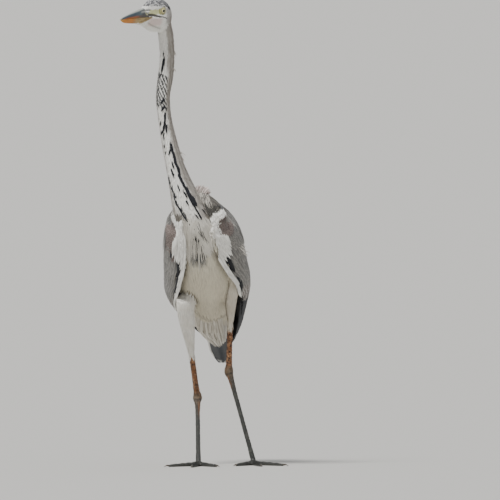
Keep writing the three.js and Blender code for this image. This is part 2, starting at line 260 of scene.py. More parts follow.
class Skin:
    """Vertices, normals and faces as arrays, and a tree to find the nearest or first place on them."""

    def __init__(self, bm):
        bmesh.ops.recalc_face_normals(bm, faces=bm.faces)
        bm.verts.ensure_lookup_table()
        bm.normal_update()
        self.bm = bm
        self.co = places_of(bm.verts)
        self.normal = np.array([v.normal[:] for v in bm.verts])
        self.edges = np.array([[v.index for v in e.verts] for e in bm.edges])
        self.tree = BVHTree.FromBMesh(bm)

    def moved(self, co):
        """The same skin with its vertices in new places."""
        for vert, place in zip(self.bm.verts, co.tolist()):
            vert.co = place
        return Skin(self.bm)

    def averaged(self, values, rounds):
        """Values at the vertices, each blended with its neighbours."""
        a, b = self.edges.T
        count = np.bincount(self.edges.ravel(), minlength=len(self.co)).astype(float)
        values = np.asarray(values, float)
        flat = values.reshape(len(values), -1)
        for _ in range(rounds):
            total = np.zeros_like(flat)
            np.add.at(total, a, flat[b])
            np.add.at(total, b, flat[a])
            flat = 0.5 * flat + 0.5 * total / count[:, None]
        return flat.reshape(values.shape)


def surface_tree(nodes):
    """A tree that finds the nearest place on CAD nodes."""
    bm = copied(nodes)
    tree = BVHTree.FromBMesh(bm)
    bm.free()
    return tree


def move_into(joined, part):
    """Adds one bmesh to another and frees it."""
    mesh = from_bmesh("part", part)
    joined.from_mesh(mesh)
    part.free()
    bpy.data.meshes.remove(mesh)


def skin_bmesh():
    """All the flesh swelled over the gaps between the solids, wrapped in one closed surface and thinned
    where the coat hides it."""
    joined = bmesh.new()
    for node in sum(FLESH.values(), ()):
        part = copied([node])
        for vert in part.verts:
            vert.co += vert.normal * SWELL
        move_into(joined, part)
    # a core inside the bill's root, so that the face closes round the horn
    core = copied(["bill_upper", "bill_lower"])
    for vert in core.verts:
        vert.co -= vert.normal * CORE_DEPTH
    front = Vector(from_head([0, -76, -10]))
    geom = core.verts[:] + core.edges[:] + core.faces[:]
    ahead = -Vector(HEAD_AXES[:, 1])
    bmesh.ops.bisect_plane(core, geom=geom, plane_co=front, plane_no=ahead, clear_outer=True)
    bmesh.ops.holes_fill(core, edges=[e for e in core.edges if e.is_boundary], sides=0)
    move_into(joined, core)
    wrapped = with_modifier(from_bmesh("joined", joined), "REMESH", mode="VOXEL", voxel_size=VOXEL)
    joined.free()
    hidden = ("trunk", "wing_left", "wing_right", "thigh", "flight")
    hidden_tree = surface_tree(sum((FLESH[part] for part in hidden), ()))
    plain = [v.index for v in wrapped.vertices if hidden_tree.find_nearest(v.co, 3)[0] is not None]
    bm = bmesh.new()
    bm.from_mesh(with_modifier(wrapped, "DECIMATE", plain, ratio=THINNED, vertex_group_factor=8))
    keep_largest(bm)
    return bm


def keep_largest(bm):
    """Deletes every loose shell but the one with most vertices."""
    bm.verts.ensure_lookup_table()
    seen = np.zeros(len(bm.verts), bool)
    shells = []
    for start in bm.verts:
        if seen[start.index]:
            continue
        seen[start.index] = True
        shell = [start]
        for vert in shell:
            for edge in vert.link_edges:
                other = edge.other_vert(vert)
                if not seen[other.index]:
                    seen[other.index] = True
                    shell.append(other)
        shells.append(shell)
    shells.sort(key=len)
    bmesh.ops.delete(bm, geom=sum(shells[:-1], []), context="VERTS")


PART_TREES = {part: surface_tree(nodes) for part, nodes in FLESH.items()}


def nearest_part(points):
    """Which part of the body each place belongs to, as an index into PARTS."""
    reach = np.array([
        [PART_TREES[part].find_nearest(Vector(p))[3] for part in PARTS] for p in points.tolist()
    ])
    return reach.argmin(1)


# ---------------------------------------------------------------- the wings' own coordinates
# From the wrist to the tip: lower edge, upper edge, bow outwards and thickness, as the solids have them.
WINGS = {
    "right": [
        ((42, -80, 449), (46, -60, 467), 5, 11), ((23, -82, 412), (25, -8, 481), 29.5, 17),
        ((29, -44, 358), (8, 62, 438), 43, 16), ((41, -12, 321), (5, 112, 382), 43, 14),
        ((56, 44, 286), (5, 160, 320), 37, 12), ((42, 150, 250), (9, 224, 258), 14, 7),
        ((17, 268, 217), (13, 271, 223), 1, 3),
    ],
    "left": [
        ((42, -80, 449), (46, -60, 467), 5, 11), ((22, -82, 416), (23, -8, 478), 25.5, 17),
        ((31, -62, 385), (8, 62, 438), 41, 16), ((47, -28, 350), (5, 112, 382), 40, 14),
        ((63, 18, 314), (5, 160, 320), 33, 12), ((46, 146, 248), (9, 224, 252), 14, 7),
        ((17, 268, 210), (14, 271, 214), 1, 3),
    ],
}
WING_STEPS = 101
WING_WIDTHS = 81
ARC_STEPS = 121


class Wing:
    """The outer face of a folded wing: t runs from wrist to tip, w in millimetres up from the lower edge."""

    def __init__(self, side):
        turn = SIDES[side]
        stations = WINGS[side]
        self.steps = t = np.linspace(0, 1, WING_STEPS)
        low = spline([(turn * s[0][0], *s[0][1:]) for s in stations], t)
        high = spline([(turn * s[1][0], *s[1][1:]) for s in stations], t)
        bow, thick = spline([s[2:] for s in stations], t).T
        chord = high - low
        along = np.gradient(low, axis=0) + np.gradient(high, axis=0)
        out = unit(np.cross(along, chord))
        out[out[:, 0] * turn < 0] *= -1
        c = (1 - np.cos(np.linspace(0, math.pi, ARC_STEPS))) / 2
        across = 2 * c - 1
        bulge = np.maximum(bow, 0)[:, None] * (1 - np.abs(across) ** 3)
        half = thick[:, None] / 2 * (1 - np.abs(across) ** 2.2) ** (1 / 2.2)
        rows = low[:, None] + chord[:, None] * c[:, None] + out[:, None] * (bulge + half)[..., None]
        steps = np.linalg.norm(np.diff(rows, axis=1), axis=2)
        length = np.concatenate([np.zeros((WING_STEPS, 1)), np.cumsum(steps, 1)], 1)
        self.width = length[:, -1]
        q = np.linspace(0, 1, WING_WIDTHS)
        self.grid = np.stack([
            np.stack([np.interp(q * self.width[i], length[i], rows[i, :, k]) for k in range(3)], 1)
            for i in range(WING_STEPS)
        ])
        du = np.gradient(self.grid, axis=0)
        dv = np.gradient(self.grid, axis=1)
        self.normal = unit(np.cross(du, dv))
        outward = (self.normal * out[:, None]).sum(-1)
        self.normal *= np.sign(outward[WING_STEPS // 2, WING_WIDTHS // 2])
        self.down = -unit(chord)
        mid = np.linalg.norm(np.diff(self.grid[:, WING_WIDTHS // 2], axis=0), axis=1)
        self.reach = np.concatenate([[0], np.cumsum(mid)])
        self.tree = place_tree(self.grid.reshape(-1, 3))

    def full(self, t):
        """The width in millimetres from edge to edge."""
        return np.interp(t, self.steps, self.width)

    def read(self, table, t, w):
        """A table's values between its grid places."""
        t = np.clip(t, 0, 1) * (WING_STEPS - 1)
        q = np.clip(w / self.full(t / (WING_STEPS - 1)), 0, 1) * (WING_WIDTHS - 1)
        i = np.minimum(t.astype(int), WING_STEPS - 2)
        j = np.minimum(q.astype(int), WING_WIDTHS - 2)
        f, g = (t - i)[..., None], (q - j)[..., None]
        low = table[i, j] * (1 - g) + table[i, j + 1] * g
        high = table[i + 1, j] * (1 - g) + table[i + 1, j + 1] * g
        return low * (1 - f) + high * f

    def at(self, t, w):
        """Places on the face and their normals; a negative w goes on below the lower edge."""
        t, w = np.broadcast_arrays(np.asarray(t, float), np.asarray(w, float))
        below = np.minimum(w, 0)[..., None]
        row = np.clip(t * (WING_STEPS - 1), 0, WING_STEPS - 1).astype(int)
        return self.read(self.grid, t, w) - self.down[row] * below, unit(self.read(self.normal, t, w))

    def ahead(self, t, distance):
        """The t that lies a distance in millimetres nearer the tip; negative goes towards the wrist."""
        return np.interp(np.interp(t, self.steps, self.reach) + distance, self.reach, self.steps)

    def find(self, points):
        """The t and w nearest to each place."""
        i = np.array([self.tree.find(p)[1] for p in points.tolist()])
        t = (i // WING_WIDTHS) / (WING_STEPS - 1)
        return t, (i % WING_WIDTHS) / (WING_WIDTHS - 1) * self.full(t)


WING = {side: Wing(side) for side in SIDES}


# ---------------------------------------------------------------- markings, the same on skin and coat
GAPE = np.array([[-60, -9.8], [-34, -9.8], [-20, -11.6], [-5, -12.6], [4, -13.8], [11, -15.8]], float)
EYE_AIM = {side: unit(np.array([turn * 0.94, -0.34, -0.06])) for side, turn in SIDES.items()}
EYE_OUT = np.linalg.norm(EYES["left"] - EYES["right"]) / 2 / MM


def eye_distance(h):
    """How far head places lie from the line through the nearer eye's pupil, and how far along it."""
    turn = np.where(h[:, 0] < 0, -1.0, 1.0)
    from_eye = h - np.stack([turn * EYE_OUT, 0 * turn, 0 * turn], 1)
    aim = EYE_AIM["left"] * np.stack([turn, 1 + 0 * turn, 1 + 0 * turn], 1)
    along = (from_eye * aim).sum(1)
    return np.linalg.norm(from_eye - along[:, None] * aim, axis=1), along, aim


def gape_height(y):
    return np.interp(y, GAPE[:, 0], GAPE[:, 1])


def lore_share(h):
    """1 on the bare yellow-green skin between bill and eye, 0 off it."""
    x, y, z = h.T
    top = np.interp(y, [-48, -42, -36, -31, -26, -20, -8, 0, 6], [-3.5, 0, 3.4, 1.4, 3.4, 2.2, 4.2, 7.4, 5])
    low = np.interp(y, [-48, -40, -20, -6, 4], [-5.0, -6.4, -6.6, -8.5, -7])
    inside = ease(0.5, -0.5, z - top) * ease(-0.5, 0.5, z - low)
    return inside * ease(-47, -44, y) * ease(2, -1, y) * (np.abs(x) > 4)


def gape_band(h):
    """1 on the dark skin from the bill's base back along the gape, which narrows behind the eye."""
    y, z = h[:, 1], h[:, 2]
    half = np.interp(y, [-60, -40, -26, -10, 11], [2.6, 2.5, 2.3, 1.1, 0.6])
    off = np.abs(z - gape_height(y) - 1.1 * half)
    return ease(half + 0.7, half - 0.4, off) * ease(-66, -58, y) * ease(13, 9, y)


def jaw_horn(h):
    """1 where the lower bill's horn runs back under the cheek."""
    x, y, z = h.T
    back = ease(-33, -36, y)
    low = np.interp(y, [-90, -74, -62, -48, -34], [-19.5, -21.5, -21, -17, -12])
    return back * ease(-0.7, 0.7, z - low) * ease(0.2, -0.8, z - gape_height(y)) * (np.abs(x) > 3)


def crown_share(h):
    """1 on the grey scaled crown."""
    y, z = h[:, 1], h[:, 2]
    return ease(6.5, 9, z + 0.05 * y) * ease(-48, -40, y) * ease(30, 20, y)


def brow_stripe(h):
    """1 on the black patch that runs from over the eye back to the side of the nape."""
    x, y, z = h.T
    front = np.interp(z, [1, 3, 8.5, 13.7, 19], [24, 17, 9.5, 3.5, 1])
    beside = np.abs(x) + 0.3 * np.maximum(0, y - 10)
    return ease(-1, 1.5, y - front) * ease(38, 30, y) * ease(-1, 2, z) * ease(2, 5, beside)


def nostril_marks(h):
    """1 on the two dark lines, over and through the nostril, between bill and forehead."""
    y, z = h[:, 1], h[:, 2]
    over = bell(z, 2.4 - 0.02 * (y + 50), 0.9) * ease(-64, -58, y) * ease(-34, -40, y)
    through = bell(z, -3.0, 0.9) * ease(-64, -58, y) * ease(-41, -46, y)
    return np.clip(1.5 * np.maximum(over, through), 0, 1) * (np.abs(h[:, 0]) > 2)


def head_colour(p):
    h = to_head(p)
    y, z = h[:, 1], h[:, 2]
    grain = cloud(p, 3.2, 1)
    scale = cloud(h * [1.0, 0.4, 1.0], 2.6, 11)
    colour = mix(WHITE, "#77767a", 0.6 * crown_share(h))
    colour = mix(colour, "#1e1e23", crown_share(h) * ease(-0.18, 0.1, scale))
    cheek = ease(4, 12, y) * ease(8, 2, z) * ease(-30, -20, z)
    colour = mix(colour, "#98938f", (0.75 + 0.3 * grain) * cheek)
    nape = ease(10, 30, y) * ease(2, -14, z)
    colour = mix(colour, WARM_GREY, 0.85 * nape)
    colour = mix(colour, BLACK, brow_stripe(h))
    pink = ease(-48, -38, y) * ease(0, -12, y) * ease(-12, -15, z) * ease(-30, -24, z)
    colour = mix(colour, PINKISH, 0.7 * pink)
    jaw_line = np.interp(y, [-46, -30, -12, 4], [-20, -27, -31, -34])
    # painted shade in the fold along the jaw line
    fold_shade = bell(z, jaw_line, 1.5) * ease(-48, -40, y) * ease(4, -8, y)
    colour = mix(colour, "#8d8578", 0.6 * fold_shade)
    return mix(colour, NOSTRIL_DARK, nostril_marks(h))


def neck_front(z):
    """Where the middle of the foreneck faces, in degrees from straight ahead, as the neck twists."""
    heights = [420, 470, 500, 522, 585, 640, 700, 735, 800]
    return np.interp(z, heights, [0, -2, -11, -16, -18, -14, -22, -27, -30])


# Dark streaks down the foreneck: width in mm, then places of (height, degrees from the front) down the
# stroke.
STREAKS = [
    (1.2, (745, -18), (738, -18)), (3.0, (734, -12), (722, -18), (710, -25)), (1.6, (708, -25), (697, -45)),
    (2.6, (662, 13), (654, -15)), (2.6, (649, 13), (640, -17)),
    (2.6, (637, 14), (626, 7), (606, -18), (599, -52)), (1.3, (622, -27), (614, -40)),
    (2.2, (615, 8), (602, -2)), (1.5, (599, -22), (589, -29)), (1.5, (579, -34), (575, -35)),
    (1.5, (567, -37), (563, -38)), (1.8, (571, 3), (561, -20)),
    (3.2, (581, 13), (571, 11), (559, 15), (546, 13), (536, 20), (522, 13), (511, 18), (501, 26)),
    (4.4, (501, 26), (487, 29), (477, 33)), (6.5, (486, 34), (477, 34), (469, 36)),
    (1.6, (548, -6), (536, -2)), (1.8, (536, -19), (523, -13)),
    (1.8, (522, -53), (509, -50)), (1.8, (506, -47), (495, -37)), (1.6, (492, -33), (485, -27)),
    (1.6, (479, -30), (470, -33)), (2.0, (507, -7), (497, -5)), (1.7, (495, 12), (485, 16)),
    (1.7, (479, 7), (471, 14)), (1.1, (500, -40), (485, -37), (470, -33)), (2.2, (466, 33), (447, 36)),
    (1.7, (463, 60), (456, 66)), (1.6, (454, 21), (448, 27)), (2.6, (466, -24), (461, -17)),
    (1.5, (486, -37), (456, -21), (442, -10)), (1.6, (454, -18), (443, -10)),
    (1.6, (438, -10), (415, 13)),
    (1.7, (411, 20), (404, 25)), (1.5, (401, 27), (395, 30)),
]
# Fine slanting barbs in rows down the upper neck, every other row turned a little: top and turn of each.
BARBS = [
    (710 - 5.0 * row - 0.1 * (turn + 62), turn + 9 * (row % 2))
    for row in range(12) for turn in (-70, -46, -22, 2)
]
STREAKS += [(0.95, (top, turn), (top - 8.5, turn + 19)) for top, turn in BARBS]
# Thin strokes are widened more, so that they still read among the white feathers.
STREAKS = [(width * (1.4 if width < 2 else 1.15), *path) for width, *path in STREAKS]


def from_neck(p):
    """How far left and ahead of the neck's middle each place is."""
    cx, cy = (np.interp(p[:, 2], NECK[:, 2], NECK[:, k]) for k in (0, 1))
    return p[:, 0] - cx, cy - p[:, 1]


def neck_angle(p):
    """The turn of each place round the neck, in degrees from straight ahead."""
    return np.degrees(np.arctan2(*from_neck(p)))


def streaked(p):
    """How far each place on the neck lies within a dark streak, from 0 to 1."""
    z = p[:, 2]
    turn = neck_angle(p)
    radius = np.minimum(np.hypot(*from_neck(p)), 40)
    dark = np.zeros(len(p))
    for width, *path in STREAKS:
        for (z0, a0), (z1, a1) in zip(path, path[1:]):
            near = (z < z0 + 6) & (z > z1 - 6)
            share = np.clip((z0 - z[near]) / (z0 - z1), 0, 1)
            across = np.radians(turn[near] - (a0 + (a1 - a0) * share)) * radius[near]
            beyond = z[near] - (z0 + (z1 - z0) * share)
            gap = np.hypot(across, beyond)
            dark[near] = np.maximum(dark[near], ease(0.5 * width + 0.35, 0.5 * width - 0.35, gap))
    return dark


def neck_colour(p):
    z = p[:, 2]
    off = (neck_angle(p) - neck_front(z) + 180) % 360 - 180
    away = np.abs(off) + 5 * cloud(p, 9, 2)
    thread = cloud(p * [1, 1, 0.25], 3.0, 12)
    colour = mix(WHITE, PALE_GREY, ease(32, 50, away + 14 * thread))
    colour = mix(colour, WARM_GREY, ease(52, 110, away + 20 * thread) * 0.7)
    shadow = bell(away, 62, 6) * ease(780, 750, z) * ease(470, 530, z)
    colour = mix(colour, "#5f574f", 0.5 * shadow)
    x = p[:, 0]
    low = ease(452, 424, z - 0.35 * np.abs(x - 6))
    colour = mix(colour, "#b8b2a4", 0.75 * low)
    beside = beside_crease(x, z)
    # painted shade where the neck's base tucks in beside the wing
    colour = mix(colour, TUCK_SHADE, 0.8 * ease(-8, -2, beside) * ease(458, 448, z))
    return mix(colour, BLACK, 0.9 * streaked(p))


def crease(side, z):
    """How far out the fold lies between the breast and a folded wing, at each height."""
    if side == "left":
        return np.interp(z, [388, 410, 430, 452, 460], [42, 33, 26.5, 21, 24])
    return np.interp(z, [330, 395, 440, 452], [23, 24, 24, 28])


def beside_crease(x, z):
    """How far outside the nearer fold each place lies."""
    return np.where(x > 0, x - crease("left", z), -x - crease("right", z))


def trunk_colour(p):
    """Cream below, ash grey over shoulders and back, painted dark slate shade between the long breast plumes.
    """
    x, y, z = p.T
    height = (z - np.interp(y, TRUNK[:, 1], TRUNK[:, 2])) * 0.75 + 5 * cloud(p, 14, 3)
    # painted shade: the belly darker and buffer towards the bottom
    colour = mix(CREAM, BUFF, 0.35 * ease(400, 320, z))
    colour = mix(colour, PALE_GREY, ease(6, 22, height))
    colour = mix(colour, ASH, ease(18, 38, height))
    colour = mix(colour, "#767169", ease(444, 456, z + 5 * cloud(p, 10, 7)))
    for side in SIDES:
        # painted shade where the breast tucks in beside the wing's edge: dusky, and dark right at the crease
        t = WING[side].find(p)[0]
        beside = np.linalg.norm(p - WING[side].at(t, 0.0 * t)[0], axis=1)
        colour = mix(colour, "#776c5d", 0.6 * ease(14, 5, beside) * (t > 0.05) * (t < 0.6))
        colour = mix(colour, "#2b2621", 0.9 * ease(6.5, 2.5, beside) * (t > 0.05) * (t < 0.6))
    under_tail = ease(95, 150, y) * ease(8, -6, height)
    colour = mix(colour, "#c4beb2", under_tail)
    colour = mix(colour, SLATE, ease(196, 214, y))
    # painted shade along the fold across the lower belly
    fold_shade = bell(z, 261 + 0.02 * (x - 6) ** 2, 2.6) * (y < 150)
    colour = mix(colour, "#6b5f4c", 0.45 * fold_shade)
    beside = beside_crease(x, z)
    front = (y < -45) & (z > 395)
    top = np.where(x > 0, 464, 447)
    colour = mix(colour, WHITE, ease(-1, 1, beside) * ease(0, -4, z - top) * front)
    # painted shade in the tuck beside the wing's edge at the front
    tuck_shade = ease(-7, -2, beside) * ease(1, -1, beside) * ease(456, 448, z) * front
    colour = mix(colour, TUCK_SHADE, 0.8 * tuck_shade)
    near = (z < 340) & (z > 225) & (y < 110)
    groin = np.full(len(p), 99.0)
    groin[near] = [PART_TREES["thigh"].find_nearest(Vector(q))[3] for q in p[near].tolist()]
    # painted shade in the groin beside the right thigh
    colour = mix(colour, GROIN_SHADE, 0.7 * ease(7, 2.5, groin) * (x < 0) * ease(300, 292, z))
    # the right thigh's rounded top, and the shadow round it
    dome = thigh_dome(p)
    ahead = (x < 0) & (z > 292) & (z < 330) & (y < 30)
    colour = mix(colour, "#4e4536", 0.85 * bell(dome, 1.2, 0.17) * ahead)
    colour = mix(colour, thigh_colour(p), ease(1.1, 1.0, dome) * ahead)
    # painted shade in the crease by the left thigh
    colour = mix(colour, GROIN_SHADE, 0.75 * groin_line(p))
    # painted shade: dark slate in the gaps under the long breast plumes
    gap = ease(-20, -12, x) * ease(16, 8, x) * ease(360, 370, z) * ease(416, 404, z) * (y < -20)
    return mix(colour, "#4a4d52", 0.95 * gap)


# How far up from the wing's lower edge, in millimetres, each marking reaches, by share of the wing's length.
WHITE_EDGE = {
    "left": (
        [0, 0.01, 0.022, 0.05, 0.08, 0.11, 0.15, 0.2, 0.27, 0.33, 0.37, 0.42, 0.55, 0.7, 0.76],
        [60, 42, 6, 1, 9, 20, 30, 36, 35, 26, 12, 8, 6, 4, 1],
    ),
    "right": (
        [0, 0.02, 0.045, 0.13, 0.19, 0.25, 0.29, 0.32, 0.36, 0.6, 0.7],
        [60, 45, 10, 18, 26, 28, 26, 13, 6, 4, 1],
    ),
}
MAUVE_EDGE = {
    "left": ([0, 0.1, 0.17, 0.22, 0.25], [34, 66, 68, 50, 30]),
    "right": ([0, 0.05, 0.1, 0.27, 0.31], [30, 55, 62, 58, 30]),
}
BREAST_EDGE = {
    "left": (
        [0.03, 0.08, 0.12, 0.16, 0.2, 0.25, 0.3, 0.35, 0.4, 0.45],
        [-9, -2, 7, 11, 13, 13, 11, 8, 4, -9],
    ),
    "right": ([0, 1], [-9, -9]),
}
BLACK_FROM = 0.8  # share of the wing where the flight feathers come out of the coverts


def wing_colour(p, side):
    t, w = WING[side].find(p)
    edge = np.interp(t, *WHITE_EDGE[side])
    up = w / WING[side].full(t)
    grain = cloud(p, 5, 4)
    colour = mix(ASH, "#8d8c8b", 0.5 + 0.5 * grain)
    colour = mix(colour, SLATE, 0.45 * ease(0.62, 0.85, up))
    patch = ease(edge - 1, edge + 3, w) * ease(2, -2, w - np.interp(t, *MAUVE_EDGE[side]) + 5 * grain)
    colour = mix(colour, MAUVE, 0.95 * patch * ease(0.32, 0.28, t))
    colour = mix(colour, MAUVE, 0.5 * bell(t, 0.72, 0.1) * ease(0.7, 0.4, up))
    colour = mix(colour, BLACK, ease(edge + 14, edge + 8, w) * ease(0.35, 0.38, t))
    colour = mix(colour, WHITE, ease(edge + 1.5, edge - 1.5, w + 1.5 * grain))
    below = w - np.interp(t, *BREAST_EDGE[side])
    colour = mix(colour, CREAM, ease(1, -1, below))
    # painted shade in the crease just below where the breast meets the wing
    colour = mix(colour, "#6b6153", 0.85 * ease(-7, -2, below) * ease(1, -1, below))
    return mix(colour, BLACK, ease(BLACK_FROM - 0.03, BLACK_FROM + 0.02, t))


def groin_line(p):
    """1 in the crease between the belly and the left thigh, where shade is painted."""
    x, y, z = p.T
    line = np.interp(z, [262, 275, 292, 329, 345], [41, 38.5, 37.5, 46, 52])
    return bell(x, line, 1.9) * ease(258, 266, z) * ease(345, 335, z) * (y < 60)


def thigh_dome(p):
    """0 in the middle of the right thigh's rounded top, 1 on its rim."""
    return np.hypot((p[:, 0] + 33) / 16.5, np.maximum(p[:, 2] - 296, 0) / 15)


def thigh_colour(p):
    """White feathered thighs, the left one creamier, partly as painted shade, and painted shade where they
    come out of the belly's feathers.
    """
    left = p[:, 0] > 0
    # the left thigh's extra buff is partly its own colour and partly painted shade under the belly
    colour = mix(WHITE, BUFF, 0.2 + 0.45 * left + 0.2 * cloud(p, 12, 6))
    # painted shadow on the rim of the right thigh's rounded top
    dome_shadow = ease(1.0, 1.25, thigh_dome(p)) * ease(290, 297, p[:, 2]) * ~left
    colour = mix(colour, "#5d5342", 0.85 * dome_shadow)
    # painted shade in the crease by the belly
    return mix(colour, GROIN_SHADE, 0.75 * groin_line(p))


def leg_colour(p):
    """Mottled orange-brown bare shins, dull horn hocks, slate tarsi with a browner edge, and toes."""
    grain, fine = cloud(p, 3.4, 5), cloud(p, 1.8, 15)
    slate = mix(TARSUS_SLATE, "#6a675c", np.clip(0.9 * fine, 0, 1))
    colour = slate
    for side, leg in LEGS.items():
        knee, hock, foot = (np.array(leg[joint], float) for joint in ("knee", "hock", "foot"))
        mine = (p[:, 0] > BETWEEN_FEET) == (side == "left")
        down = (p - hock) @ unit(foot - hock)
        above = (p - hock) @ unit(knee - hock) - np.maximum(down, 0) + 6 * grain
        off = p[:, 0] - np.interp(p[:, 2], [foot[2], hock[2]], [foot[0], hock[0]])
        edge = ease(0.5, 3.5, -off if side == "left" else off)
        one = mix(slate, "#8a5f3e", (0.1 + 0.8 * edge) * ease(-80, -30, above))
        one = mix(one, HOCK_HORN, ease(-30, -8, above) * 0.8)
        one = mix(one, "#2f2a26", 0.8 * bell(above, -9, 3.5))
        shin = mix(SHIN, "#c99b70", np.clip(2.2 * fine, 0, 0.85))
        shin = mix(shin, "#33201a", np.clip(3.4 * grain - 0.05, 0, 0.9))
        one = mix(one, shin, ease(2, 16, above))
        colour = np.where(mine[:, None], one, colour)
    return colour


def markings(p, part):
    """The plumage and skin colour at each place of a part."""
    p = np.asarray(p, float)
    part = np.broadcast_to(part, len(p))
    colour = np.tile(WHITE, (len(p), 1))
    painters = {
        "head": head_colour,
        "neck": neck_colour,
        "trunk": trunk_colour,
        "wing_left": lambda q: wing_colour(q, "left"),
        "wing_right": lambda q: wing_colour(q, "right"),
        "thigh": thigh_colour,
        "flight": lambda q: np.tile(BLACK, (len(q), 1)),
        "leg": leg_colour,
    }
    for index, name in enumerate(PARTS):
        here = part == index
        if here.any():
            colour[here] = painters[name](p[here])
    return colour


# ---------------------------------------------------------------- the face, worked into the skin
LID_RADIUS = 5.1
LID_HEIGHT = math.sqrt(EYE_RADIUS**2 - LID_RADIUS**2) + 0.5


def refine_face(bm):
    """Finer faces round eyes, lores and gape, where the skin has folds."""
    bm.verts.ensure_lookup_table()
    x, y, z = to_head(places_of(bm.verts)).T
    near = (np.abs(x) > 4) & (y > -56) & (y < 16) & (z > -19) & (z < 11)
    edges = [e for e in bm.edges if near[e.verts[0].index] and near[e.verts[1].index]]
    bmesh.ops.subdivide_edges(bm, edges=edges, cuts=2, use_grid_fill=True)


def sculpted(co):
    """Places moved so that the eyes sit in lidded sockets, the lores sink and the gape line cuts in."""
    h = to_head(co)
    near = (np.abs(h[:, 1]) < 60) & (np.abs(h[:, 2]) < 30) & (np.abs(h[:, 0]) < 24)
    x, y, z = h[near].T
    turn = np.where(x < 0, -1.0, 1.0)
    sink = 1.3 * bell(y, -20, 14) * bell(z, -2, 6) * ease(2, 6, np.abs(x))
    groove = 0.9 * bell(z - gape_height(y), 0, 0.9) * ease(-60, -50, y) * ease(12, 8, y)
    jowl = 0.5 * bell(z - gape_height(y), -3.5, 2.6) * ease(-44, -30, y) * ease(12, 4, y)
    ridge = 0.7 * bell(z - np.interp(y, [-30, -6, 4, 12], [5.5, 8.2, 8.0, 5.0]), 0, 1.8) * bell(y, -4, 11)
    x = x - turn * (sink + groove - jowl - ridge)
    spot = np.stack([x, y, z], 1)
    r, along, aim = eye_distance(spot)
    lid = LID_HEIGHT + 0.55 * bell(r, LID_RADIUS + 0.7, 0.55) - 0.1 * np.maximum(0, r - LID_RADIUS - 0.7)
    target = np.where(r < LID_RADIUS - 0.1, LID_HEIGHT - 2.6, lid)
    share = ease(LID_RADIUS + 5.5, LID_RADIUS + 0.6, r) * (along > -3)
    spot = spot + aim * ((target - along) * share)[:, None]
    h[near] = spot
    return from_head(h)


def make_skin():
    bm = skin_bmesh()
    refine_face(bm)
    skin = Skin(bm)
    part = nearest_part(skin.co)
    soft = skin.averaged((part != PARTS.index("leg")).astype(float), 3)[:, None]
    smooth = skin.averaged(skin.co, 2)
    smoother = skin.averaged(smooth, 6)
    skin = skin.moved(smooth * (1 - soft) + smoother * soft)
    depth = skin.averaged(np.array([COAT_DEPTH[PARTS[i]] for i in part]), 5)
    skin = skin.moved(skin.co - skin.normal * depth[:, None])
    skin = skin.moved(sculpted(skin.co))
    return skin, part


SKIN, SKIN_PART = make_skin()


# ---------------------------------------------------------------- materials
def add(tree, kind, links=None, **settings):
    """Adds a node with its settings. A links entry joins an output to one of the new node's inputs."""
    node = tree.nodes.new(kind)
    for name, value in settings.items():
        if name.startswith("in_"):
            key = name[3:]
            node.inputs[int(key) if key.isdigit() else key.replace("_", " ")].default_value = value
        else:
            setattr(node, name, value)
    for socket, source in (links or {}).items():
        tree.links.new(source, node.inputs[socket])
    return node


def new_material(name, roughness, **shader):
    """A material with a principled shader, and its tree and shader."""
    material = bpy.data.materials.new(name)
    material.use_nodes = True
    tree = material.node_tree
    principled = tree.nodes["Principled BSDF"]
    principled.inputs["Roughness"].default_value = roughness
    for key, value in shader.items():
        principled.inputs[key.replace("_", " ")].default_value = value
    return material, tree, principled


def painted(tree):
    """The colour that each piece carries in its own mesh."""
    return add(tree, "ShaderNodeAttribute", attribute_name="Plumage").outputs["Color"]


def finish_surface(tree, shader, shade, relief, strength, depth):
    """Gives a shader the painted colour times a shade, and a bump from a relief."""
    tinted = add(tree, "ShaderNodeVectorMath", {0: painted(tree), "Scale": shade}, operation="SCALE")
    tree.links.new(tinted.outputs["Vector"], shader.inputs["Base Color"])
    bump = add(tree, "ShaderNodeBump", {"Height": relief}, in_Strength=strength, in_Distance=depth)
    tree.links.new(bump.outputs["Normal"], shader.inputs["Normal"])


def plumage():
    """Barbed vanes, matt and soft: fine strands run along each feather, with a faint silky sheen."""
    material, tree, shader = new_material("barbed_feather", 0.82, Sheen_Weight=0.12, Sheen_Roughness=0.5)
    shader.inputs["Specular IOR Level"].default_value = 0.25
    place = add(tree, "ShaderNodeUVMap", uv_map="Feather").outputs["UV"]
    # strands about a tenth of a vane wide, twelve times as long as wide
    stretch = add(tree, "ShaderNodeMapping", {"Vector": place}, in_Scale=(10, 0.8, 1)).outputs["Vector"]
    barbs = add(tree, "ShaderNodeTexNoise", {"Vector": stretch}, in_Scale=1.6, in_Detail=2.0)
    shade = add(tree, "ShaderNodeMapRange", {"Value": barbs.outputs["Fac"]}, in_3=0.84, in_4=1.1)
    finish_surface(tree, shader, shade.outputs["Result"], barbs.outputs["Fac"], 0.35, 0.4 * MM)
    return material


def mottled(name, roughness, size_mm, low, high, bump_mm, **shader):
    """A painted surface mottled at one real size in millimetres, with bump of the same grain."""
    material, tree, principled = new_material(name, roughness, **shader)
    place = add(tree, "ShaderNodeTexCoord").outputs["Object"]
    grain = add(tree, "ShaderNodeTexNoise", {"Vector": place}, in_Scale=1 / (size_mm * MM), in_Detail=3.0)
    shade = add(tree, "ShaderNodeMapRange", {"Value": grain.outputs["Fac"]}, in_3=low, in_4=high)
    finish_surface(tree, principled, shade.outputs["Result"], grain.outputs["Fac"], 0.5, bump_mm * MM)
    return material


